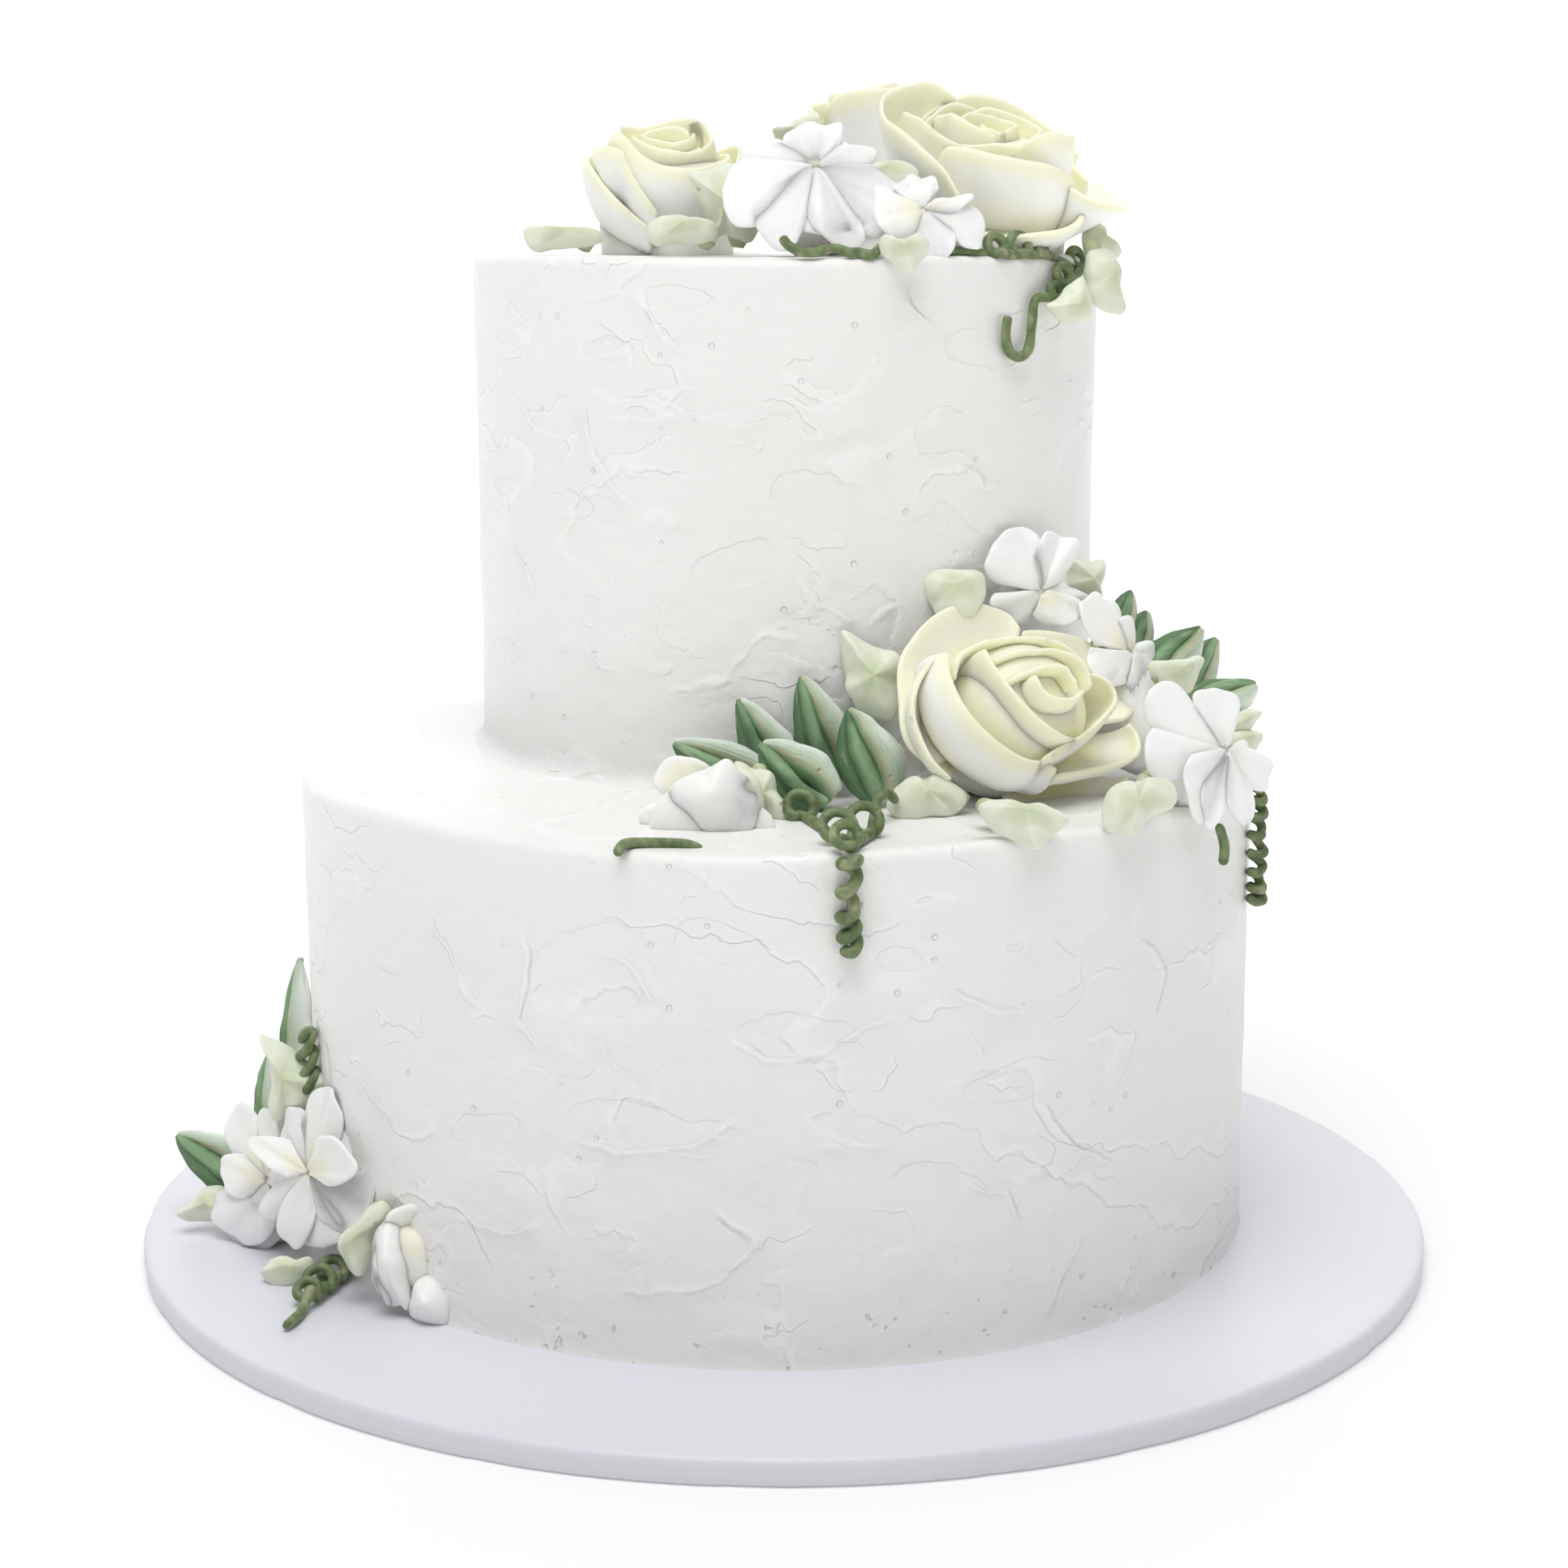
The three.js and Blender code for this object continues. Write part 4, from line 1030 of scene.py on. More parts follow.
# %% Petal tables of the roses
LEDGE_ROSE = {
    "node": "rose_ledge", "at": (44, -43, 127), "axis": (0.437, -0.704, 0.56),
    "seat": (46, -47, LEDGE_Z), "seat_radius": 14, "heart": (16, 10, 27.5),
    "petals": [
        (FLARED, [(-158, 23.5, 9), (-175, 27.5, 10), (-194, 27, 11), (-214, 28, 12), (-230, 27.5, 13),
                  (-251, 27.5, 13), (-273, 27, 13), (-288, 25.5, 13), (-295, 21.5, 14)]),
        (FLARED, [(62, 22, 13), (44, 26, 14), (32, 30, 14), (21, 33, 14), (12, 34.5, 14), (4, 34.5, 14),
                  (-4, 33, 14), (-10, 28, 14)]),
        (UPRIGHT, [(-100, 21, 12), (-80, 26, 8), (-58, 28.5, 7), (-45, 30.5, 8.5), (-32, 31, 10.5)]),
        (UPRIGHT, [(-12, 29, 15), (-18, 30.5, 15.5), (-26, 30, 16), (-36, 26.5, 17), (-53, 21, 18),
                   (-74, 18, 19), (-90, 17.5, 19)]),
        ((1.02, 0.5), [(-148, 24, 12), (-160, 26, 13.5), (-172, 26.5, 14.5), (-184, 27, 16), (-196, 26, 18),
                       (-210, 23.5, 20)]),
        ((1.42, 0.42), [(145, 21.5, 22), (158, 21, 23), (173, 20.5, 24), (190, 20, 25), (204, 19, 25),
                        (222, 17.5, 24), (244, 16.5, 23), (259, 15.5, 22), (272, 16.5, 20.5)]),
        (UPRIGHT, [(160, 18.5, 21), (144, 18.5, 23), (131, 16.5, 24), (108, 13.5, 25), (75, 12.5, 25),
                   (44, 14, 25), (24, 15, 25), (11, 15, 25)]),
        ((1.3, 0.45), [(10, 14.5, 25), (1, 16.5, 26), (-7, 18, 26), (-16, 18, 26), (-29, 15.5, 26),
                       (-51, 13.5, 26), (-79, 13, 26), (-97, 14.5, 25), (-106, 16, 24)]),
        (CLOSING, [(137, 15, 26), (149, 13, 27), (170, 10.5, 28), (200, 9.5, 29), (232, 10, 29),
                   (258, 11, 28), (286, 13, 26)]),
        (UPRIGHT, [(142, 12, 26), (122, 9.5, 27), (100, 8.5, 28), (76, 8.5, 28), (41, 10.5, 28),
                   (17, 11.5, 28), (-8, 11.5, 27)]),
        (UPRIGHT, [(172, 10, 29), (149, 5, 31), (120, 3.5, 32), (81, 2.5, 32), (40, 3.5, 32), (7, 4, 32),
                   (-27, 5, 32)]),
        (CLOSING, [(165, 5, 31), (180, 5, 32), (210, 5.5, 32), (243, 5.5, 32), (273, 5.5, 32), (305, 6.5, 32),
                   (334, 7.5, 31)]),
    ],
}
LARGE_ROSE = {
    "node": "rose_top_large", "at": (48, 8, TOP_Z - 1), "axis": (0.03, -0.22, 0.97),
    "heart": (17, 8, 28.5),
    "petals": [
        ((0.8, 0.8), [(-53, 22, 21), (-51, 27, 19), (-47, 30, 18), (-35, 31, 16), (-15, 30, 14), (9, 29, 13.5),
                      (20, 28, 14.5), (25, 24, 15.5)]),
        ((0.9, 0.6), [(-112, 24, 12), (-98, 27, 12), (-80, 28, 12.5), (-65, 27, 13), (-54, 26, 14), (-44, 23, 16)]),
        ((0.98, 0.5), [(116, 17, 34), (128, 21, 37), (145, 24, 37), (160, 27, 35), (181, 27, 33), (204, 27, 32),
                       (218, 26, 29), (230, 25, 25), (240, 26, 20)]),
        ((0.98, 0.5), [(125, 24, 26), (105, 26, 27), (85, 27, 26), (65, 27, 25), (47, 26, 24), (30, 25, 22)]),
        (UPRIGHT, [(140, 20, 29), (126, 19, 32), (112, 18, 34), (89, 18, 34), (74, 19, 32), (60, 20, 30),
                   (48, 20, 28), (38, 20, 26)]),
        (UPRIGHT, [(46, 20, 22), (32, 21.5, 20.5), (20, 22, 19), (6, 22, 18)]),
        ((1.1, 0.5), [(-146, 19, 24), (-138, 20, 28), (-129, 20, 29), (-118, 20, 29), (-102, 20, 28),
                      (-86, 20, 27), (-71, 21, 26), (-58, 21, 24), (-48, 21, 21)]),
        (CLOSING, [(159, 22, 32), (175, 21, 33), (189, 19, 33), (198, 16, 30), (212, 14, 28.5), (222, 14, 28)]),
        (CLOSING, [(-158, 15, 27), (-145, 13.5, 28), (-130, 12, 28), (-107, 11, 29), (-83, 11, 28.5), (-70, 12, 28)]),
        (UPRIGHT, [(-84, 12, 27), (-75, 14, 30), (-60, 16, 32), (-38, 16.5, 31), (-10, 16.5, 29), (19, 16, 27)]),
        (UPRIGHT, [(184, 17, 32), (160, 15, 33), (143, 14, 34), (128, 13, 34), (114, 12, 33), (105, 12, 32)]),
        (UPRIGHT, [(150, 10, 31), (129, 9, 32), (100, 9, 33), (70, 9, 32), (30, 9, 31), (-15, 9, 30), (-54, 9, 29)]),
        (CLOSING, [(162, 15, 30), (174, 14, 32.5), (185, 12.5, 33.5), (197, 12, 34), (215, 10, 32.5), (236, 8, 31),
                   (253, 7, 29.5)]),
        (UPRIGHT, [(168, 6, 33), (135, 5, 32.5), (106, 4.5, 32), (58, 4, 31), (0, 4, 31), (-65, 4, 31),
                   (-100, 4.5, 29.5)]),
        (CLOSING, [(160, 4, 31), (200, 4.5, 31), (240, 4.5, 30.5), (275, 4.5, 30)]),
    ],
}
SMALL_ROSE = {
    "node": "rose_top_small", "at": (-27, 10, TOP_Z - 1), "axis": (0.02, -0.22, 0.97),
    "heart": (16, 8, 26.5),
    "petals": [
        (UPRIGHT, [(170, 16, 24), (200, 17, 27), (215, 17.5, 28), (229, 17, 28), (235, 17, 25), (242, 17.5, 22),
                   (260, 18.5, 15)]),
        ((1.12, 0.5), [(110, 18, 20), (130, 18, 21), (150, 18.5, 22), (170, 18.5, 23), (190, 18.5, 23),
                       (206, 18.5, 21.5), (222, 18, 18), (238, 18, 15), (254, 18.5, 12)]),
        ((1.05, 0.5), [(130, 18, 20), (105, 18.5, 22), (80, 18.5, 23), (55, 18, 22), (35, 18, 20)]),
        ((1.2, 0.45), [(62, 16, 21), (40, 16.5, 23), (20, 16.5, 25), (0, 16.5, 25.5), (-20, 16.5, 24),
                       (-38, 17, 21)]),
        ((1.42, 0.42), [(-160, 14, 28), (-148, 14, 30.5), (-134, 14, 30), (-115, 14, 26.5), (-91, 14, 24.5),
                        (-65, 14, 23.5), (-45, 13.5, 24), (-20, 13.5, 24), (5, 13.5, 23.5), (25, 13.5, 23)]),
        (CLOSING, [(57, 10, 29.5), (20, 9.5, 30), (-4, 10, 28), (-35, 9, 26.5), (-70, 9, 26.5), (-100, 9, 27.5),
                   (-121, 9.5, 28), (-140, 11, 30)]),
        (UPRIGHT, [(24, 10, 28.5), (40, 10, 30), (57, 10, 30.5), (90, 10, 29.5), (118, 10, 28.5), (140, 10.5, 29),
                   (165, 11, 30)]),
        (CLOSING, [(175, 6, 29), (215, 5.5, 28.5), (260, 5, 28), (300, 5, 28), (340, 5, 28), (375, 6, 28.5)]),
        (UPRIGHT, [(5, 5, 28.5), (45, 4.5, 29.5), (90, 4.5, 29.5), (135, 4.5, 29), (180, 5, 28.5)]),
    ],
}


# %% Piping the roses
ROSE_FOOT = (5.5, 0.5)
GOLDEN_TURN = 137.5


def rose(recipe):
    bm = bmesh.new()
    radius, middle, top = recipe["heart"]
    add_dome(bm, radius, top - middle, at=(0, 0, middle))
    for number, (belly, rim) in enumerate(recipe["petals"]):
        add_petal(bm, rim, belly, ROSE_FOOT, ruffle=0.5, seed=number, base=1.9, edge=0.65)
    bm.transform(flower_frame(recipe["at"], recipe["axis"]))
    if "seat" in recipe:
        add_mound(bm, recipe["seat"], recipe["at"], recipe["seat_radius"])
    print(recipe["node"], "petals:", len(recipe["petals"]), "corners:", len(bm.verts))
    finish_piece("piped_" + recipe["node"], bm, ROSE, [recipe["node"]], levels=1)


def golden_rose(count, start, inner, outer, tall, low):
    """Petals for a rose of which little shows, each a golden turn from the last."""
    petals = []
    for k in reversed(range(count)):
        t = k / (count - 1)
        middle, span = start - GOLDEN_TURN * k, lerp(170, 155, t)
        reach, height = lerp(inner, outer, t), lerp(tall, low, t)
        rim = [
            (middle + s * span / 2, reach * (1 + 0.07 * s), height - 3.5 * s * s) for s in (-1, -0.6, -0.2, 0.2, 0.6, 1)
        ]
        petals.append(((1.04, 0.5), rim))
    ring = [(start + 55 * s, 4, tall - 1) for s in range(7)]
    petals.append((UPRIGHT, ring))
    return petals


BACK_ROSE = {
    "node": "rose_top_back", "at": (25, 47, TOP_Z - 1), "axis": (-0.12, 0.05, 0.98),
    "heart": (9, 15, 37),
    "petals": golden_rose(6, start=212, inner=6, outer=13.5, tall=40.5, low=38.5),
}
for recipe in (LEDGE_ROSE, LARGE_ROSE, SMALL_ROSE, BACK_ROSE):
    rose(recipe)

# %% [markdown]
# ## Blossoms
#
# An open blossom has five to seven thin petals round a small heart, each piped a little over the
# one before. A petal is given by its rim, as a rose's is, but its belly is low, its rim is creased
# down the middle and it ruffles more. One petal copied round an axis would look stamped, so each
# has a rim of its own.

# %% Petal tables of the blossoms
BLOSSOMS = {
    "blossom_top_large": {
        "at": (7, -23, 250), "axis": (0.02, -0.68, 0.73), "seat": (8, -8, TOP_Z), "seat_radius": 12,
        "petals": [
            [(124, 12, -3), (108, 16.5, -2), (96, 18, -3), (83, 19, -3), (73, 18, -2), (66, 15.5, -1), (60, 10, -1)],
            [(160, 17, -4), (147, 20, -4), (135, 20, -4), (122, 18.5, -5), (112, 13, -4)],
            [(303, 17, -5), (308, 20.5, -5), (318, 20, -4), (331, 20, -3), (343, 21, -3), (352, 19, -4), (2, 14, -3)],
            [(62, 9, -1), (51, 14, -2), (43, 16.5, -2), (34, 17, -3), (24, 14, -3), (8, 9, -2)],
            [(158, 14, -1), (163, 18, -2), (174, 20, -3), (188, 21, -3), (204, 22, -3), (217, 22, -4), (227, 18, -4)],
            [(201, 9, -2), (207, 14.5, -2), (219, 18, -3), (232, 20, -4), (246, 21.5, -5), (255, 20, -4),
             (259, 13, -3)],
            [(254, 9, -1), (263, 14, -2), (273, 17.5, -2), (284, 20, -4), (294, 21, -5), (301, 20, -4), (308, 14, -3)],
        ],
    },
    "blossom_top_small": {
        "at": (30, -31, 241), "axis": (0.1, -0.75, 0.65), "seat": (30, -22, TOP_Z), "seat_radius": 8,
        "petals": [
            [(124, 9, -2), (102, 12.5, -3), (85, 13, -3), (71, 13, -3), (60, 9, -2)],
            [(50, 5, 0), (28, 9, 1), (20, 12.5, 1.5), (6, 9, 1), (-8, 5, 0)],
            [(22, 10, -1), (4, 14, -2), (-10, 14.5, -3), (-27, 14.5, -4), (-39, 11, -3)],
            [(244, 5, -1), (262, 8, -2), (276, 11, -3), (287, 12, -3), (305, 10.5, -2), (330, 7.5, -1)],
            [(145, 8, 0), (153, 11, 3), (171, 11, 3), (192, 11.5, 2), (212, 11, 1), (232, 9.5, 0), (246, 6, -1)],
        ],
    },
    "blossom_wall": {
        "at": (57, -30, 158), "axis": (0.35, -0.8, 0.3), "seat": (49, -21, 154), "seat_radius": 8,
        "petals": [
            [(16, 6, -1), (4, 9.5, -2), (-3, 11.5, -2), (-8, 13, -2), (-22, 10, -2)],
            [(180, 12, 1), (187, 14, 2), (196, 13, 0), (210, 10, -1), (230, 9, -2), (248, 7, -2)],
            [(96, 6, 0), (86, 11, 2), (76, 13.5, 2), (61, 14, 0), (49, 15, 2), (41, 14.5, 1), (33, 11, 0), (22, 6, 0)],
            [(165, 11, -1), (158, 14, 0), (145, 15, 1), (129, 16, 1.5), (113, 15.5, 0.5), (98, 15, 0), (86, 13, 2),
             (84, 9, 1)],
            [(246, 6, 0), (266, 8, 1), (291, 9, 2), (313, 10, 2), (329, 12, 1), (340, 10, 1), (352, 6, 0)],
        ],
    },
    "blossom_behind_rose": {
        "at": (77, -31, 144), "axis": (0.55, -0.5, 0.6), "seat": (80, -28, LEDGE_Z), "seat_radius": 13,
        "petals": [
            [(150, 9, -1), (128, 13, -1), (112, 16, 0), (98, 16, 1), (85, 15.5, 1), (74, 14, 1), (64, 11, 0)],
            [(80, 7, 0), (74, 9, 2), (60, 10, 2), (47, 11, 1), (38, 8.5, 0), (28, 5, -1)],
            [(28, 5, 0), (12, 8.5, 1), (2, 9.5, 1), (-12, 9, 0), (-34, 7, 0), (-60, 7, -1)],
            [(230, 8, -1), (205, 12, -2), (180, 13, -2), (160, 11, -1)],
            [(300, 7, -1), (280, 10, -2), (255, 11, -2), (235, 8, -1)],
        ],
    },
    "blossom_ledge_right": {
        "at": (94, -62, 128), "axis": (0.5, -0.78, 0.35), "seat": (83, -50, LEDGE_Z), "seat_radius": 11,
        "petals": [
            [(160, 16, -1), (150, 20, -2), (140, 21.5, -1), (130, 21, 0), (122, 18, 0), (116, 12, -1)],
            [(18, 6, 0), (-3, 10, -1), (-17, 14, -1), (-28, 15.5, -2), (-40, 15, -2), (-54, 10, -2)],
            [(120, 10, 0), (115, 13.5, 1), (104, 14, 0), (90, 13.5, -1), (76, 13.5, -1), (58, 13.5, 0), (50, 10, 0),
             (48, 6, 0)],
            [(158, 18, -1), (166, 20.5, 0), (176, 21, 0), (186, 20.5, -1), (195, 17.5, -2), (202, 11, -1)],
            [(252, 8, 0), (261, 12, 1), (272, 14, -1), (284, 17.5, -2), (296, 15, -2), (308, 9, -1)],
            [(212, 8, 1), (222, 12, 1), (235, 15.5, 0), (247, 18, -1), (254, 15, 0), (262, 9, 0)],
            [(180, 9, 1), (188, 13, 3), (199, 14.5, 2), (214, 15.5, 1), (230, 17, -1), (240, 16.5, -2), (246, 11, -1)],
        ],
    },
    "blossom_base_left": {
        "at": (-119, -32, 21), "axis": (-0.45, -0.7, 0.45), "seat": (-118, -25, BOARD_TOP), "seat_radius": 11,
        "petals": [
            [(224, 15, -4), (236, 18.5, -4), (250, 18, -4), (272, 16, -4), (291, 13, -4)],
            [(196, 13, -1), (204, 17, 0), (220, 17.5, 0), (245, 16.5, -1), (270, 15.5, -1), (292, 13, 0), (306, 9, 0)],
            [(168, 12, -1), (154, 18, 0), (143, 21, 1), (134, 21.5, 1), (126, 19, 1), (119, 14, 0)],
            [(126, 12, 1), (117, 16, 2), (108, 16.5, 2), (98, 13, 1), (88, 8, 1)],
            [(152, 9, 1), (166, 13.5, 3), (178, 14, 3), (192, 12, 3), (212, 10, 2), (236, 6, 1)],
            [(80, 11, -1), (55, 13, -2), (25, 13, -2), (-5, 12, -2), (-35, 11, -1)],
        ],
    },
    "blossom_base_right": {
        "at": (-106, -50, 29), "axis": (-0.7, -0.65, 0.3), "seat": (-97, -44, 25), "seat_radius": 9,
        "petals": [
            [(176, 14, -2), (163, 19.5, -2), (150, 20, -1), (136, 17.5, 0), (122, 14.5, 0), (108, 9, 0)],
            [(312, 6, 0), (305, 10, 0), (316, 14, -1), (327, 18.5, -2), (341, 21, -2), (354, 20, -2), (4, 13, -1)],
            [(128, 11, 0), (112, 16.5, 1), (101, 19, 1), (90, 19.5, 0), (78, 18, 1), (64, 15.5, 0), (52, 11, 0)],
            [(232, 17, -1), (222, 20, 1), (213, 19.5, 1), (205, 15, 0), (200, 9, 0)],
            [(226, 9, 1), (236, 13, 2), (246, 16.5, 2), (260, 18, 1), (274, 18, 1), (288, 14, 1), (303, 9, 0)],
            [(154, 12, 1), (166, 17, 3), (172, 20, 4), (178, 17, 5), (186, 11, 5), (205, 6, 4)],
            [(72, 7, 2), (58, 11, 4), (42, 15, 4), (28, 18, 4), (16, 20, 3), (6, 16, 3), (-6, 9, 2)],
        ],
    },
}


# %% Piping the blossoms
BLOSSOM_HEART = 4.5


def blossom(node, recipe):
    bm = bmesh.new()
    add_dome(bm, BLOSSOM_HEART, 2.5, at=(0, 0, -1.8))
    for number, rim in enumerate(recipe["petals"]):
        foot = (0.6, 0.4 + 0.15 * number)
        add_petal(bm, rim, OPEN, foot, ruffle=1.3, seed=number, base=1.0, edge=0.5, fine=1.3, crease=0.7)
    bm.transform(flower_frame(recipe["at"], recipe["axis"]))
    add_mound(bm, recipe["seat"], recipe["at"], recipe["seat_radius"])
    finish_piece("piped_" + node, bm, BLOSSOM, [node], levels=1)


for node, recipe in BLOSSOMS.items():
    blossom(node, recipe)
print("Blossoms:", len(BLOSSOMS))

# %% [markdown]
# ## Buds
#
# A bud is a few short petals wrapped round each other, lying on its side. Those that spread are
# petals like a rose's, and those that still wrap the bud are plump, so they are pillows. A bud
# is drawn as it is seen from the front, so both kinds are given by turn, reach and height about
# a point of their own.

# %% Buds
BUDS = {
    "bud_ledge": {
        "axis": (-0.1, -0.95, 0.3), "heart": (8.5, (-12.5, -76, 119)), "petals_at": (-14.5, -80, 122),
        "petals": [
            ((0.6, 0.35), (1, -3), 0.1, [
                (98, 4, -4), (104, 6.5, -3), (126, 10, -3), (138, 12.5, -3), (151, 14, -3), (164, 14, -3),
                (174, 13, -3), (184, 9, -4)]),
            ((0.6, 0.5), (1, -4), 0.5, [
                (185, 10, -5), (188, 13, -5), (191, 16, -4), (195, 17.5, -4), (200, 17, -4), (208, 15, -4),
                (218, 11, -4)]),
            ((0.8, 0.4), (1, -2), 0.5, [
                (352, 6, -4), (346, 9.5, -4), (338, 13, -3.5), (330, 14.5, -3.5), (318, 13.5, -3), (302, 12, -3),
                (284, 10.5, -3)]),
            ((0.9, 0.3), (0.5, 2), 0.5, [
                (176, 9, 0), (190, 11.5, 0), (203, 14, 0), (209, 15, 0), (224, 12, 0), (248, 9.5, 0), (278, 10, -1)]),
        ],
        "pillows": [
            ((-14.5, -80, 122), 6, [
                (455, 6.2, 1), (432, 8, 1), (402, 7.5, 0), (376, 8, -0.5), (350, 9.3, -1), (326, 10.4, -1),
                (304, 11.2, -1), (289, 11.1, -1), (266, 8.9, 0.5), (232, 7, 2), (206, 7.6, 2), (186, 9.5, 1),
                (170, 9, 1), (140, 6.6, 1.5), (110, 5.8, 1)]),
        ],
    },
    "bud_base": {
        "axis": (-0.15, -0.95, 0.25), "heart": (8, (-80, -71, 18)), "petals_at": (-79.5, -76, 17),
        "petals": [
            ((0.7, 0.2), (1, -3), 0.2, [
                (140, 11, 0), (124, 12, 2.5), (108, 13, 3), (92, 13, 3.5), (76, 11.5, 3.5), (52, 9.7, 3.5),
                (22, 9, 3.5), (0, 10, 3), (-14, 11, 2.5), (-26, 10, 1), (-36, 8, -1)]),
        ],
        "pillows": [
            ((-85, -76, 18), 5, [
                (440, 7, 0), (420, 5, 0), (395, 4, 0), (360, 4.2, 0), (330, 5, 0), (305, 7.6, 0), (290, 11, 0),
                (283, 9.8, 0), (272, 9.8, 0), (253, 8, 0), (235, 6.9, 0), (198, 4.7, 0), (157, 5, 0), (127, 7, 0),
                (110, 8.6, 0), (97, 9.5, 0)]),
            ((-87.5, -76, 17), 3.2, [
                (457, 8, 0), (443, 4.4, 0), (400, 2.6, 0), (349, 2.4, 0), (304, 6.3, 0), (294, 9.3, 0),
                (282, 8.5, 0.5), (272, 6.5, 0), (256, 4.6, 0), (201, 2, 0), (133, 3.2, 0), (111, 5.5, 0)]),
            ((-76.5, -80, 10.5), 5, [
                (535, 4.4, 0), (488, 5.2, 0), (463, 5.4, 0), (431, 4.7, 0), (393, 4.8, 0), (363, 5.3, 0),
                (331, 6.1, 0), (306, 6.5, 0), (281, 6.1, 0), (245, 5.7, 0), (213, 5.6, 0), (188, 4.8, 0)]),
        ],
    },
}
PILLOW_THICKNESS = 1.3


# %% Piping the buds
def bud(node, recipe):
    """Petals are (belly, foot, pale, rim) and pillows (middle, height of the middle, outline)."""
    bm = bmesh.new()
    for seed, (belly, foot, pale, rim) in enumerate(recipe["petals"]):
        add_petal(bm, rim, belly, foot, ruffle=0.5, seed=seed, base=1.4, edge=0.8, fine=1.4, pale=pale)
    bm.transform(flower_frame(recipe["petals_at"], recipe["axis"]))
    for seed, (at, peak, outline) in enumerate(recipe["pillows"], start=len(recipe["petals"])):
        done = set(bm.verts)
        add_pillow(bm, from_turns(outline), peak, PILLOW_THICKNESS, seed)
        own = [vert for vert in bm.verts if vert not in done]
        bmesh.ops.transform(bm, matrix=flower_frame(at, recipe["axis"]), verts=own)
    radius, middle = recipe["heart"]
    add_dome(bm, radius, radius, middle)
    finish_piece("piped_" + node, bm, BUD, [node], levels=1)


for node, recipe in BUDS.items():
    bud(node, recipe)
print("Buds:", len(BUDS))

# %% [markdown]
# ## Leaves
#
# A dark leaf is drawn out by a leaf nozzle, which flutes it: ridges and valleys run from its foot
# to its tip, and its edge is lobed where the nozzle paused. It is a piped sheet with one profile
# across, which drifts a little on its way to the tip.
#
# A pale leaf is softer and has its own outline, so it is a pillow, with a small mound behind it
# that joins it to the cake.

# %% Dark leaves
# (foot, tip, the way it faces, width) and, where it isn't pointed, its shape: how blunt its tip
# is, how deep its lobes are and how far it arches.
POINTED, ROUND = (1.9, 0.14, 1.2), (2.5, 0.16, 1.2)
DARK_LEAVES = {
    "leaf_dark_ledge_5": ((22, -59, 117), (14, -56, 136), (0, -0.9, 0.4), 15),
    "leaf_dark_ledge_4": ((10, -63, 117), (-5, -59, 129), (-0.2, -0.8, 0.6), 14, ROUND),
    "leaf_dark_ledge_3": ((12, -48, 119), (4, -49, 142), (0, -0.9, 0.3), 13),
    "leaf_dark_ledge_2": ((2, -49, 117), (-10, -49, 137), (-0.1, -0.9, 0.4), 12),
    "leaf_dark_ledge_1": ((-1, -54, 117), (-24, -53, 128), (-0.1, -0.8, 0.6), 12, ROUND),
    "leaf_dark_right_1": ((72, -20, 141), (80, -9, 155), (0.5, -0.8, 0.2), 9),
    "leaf_dark_right_2": ((77, -20, 138), (83, -12, 151), (0.5, -0.8, 0.3), 9),
    "leaf_dark_right_3": ((81, -25, 136), (95, -20, 148), (0.1, -0.8, 0.6), 11, ROUND),
    "leaf_dark_right_4": ((89, -23, 130), (99, -14, 145), (0.5, -0.8, 0.3), 10),
    "leaf_dark_right_5": ((90, -34, 131), (106, -29, 137), (0.1, -0.7, 0.7), 11, ROUND),
    "leaf_dark_base_1": ((-115, -14, 40), (-114, -8, 68), (-0.75, -0.6, 0.1), 10),
    "leaf_dark_base_2": ((-121, -18, 26), (-121, -12, 47), (-0.7, -0.7, 0.1), 9),
    "leaf_dark_base_3": ((-126, -17, 15), (-144, -13, 26), (-0.1, -0.8, 0.6), 12, ROUND),
}
print("Dark leaves:", len(DARK_LEAVES))

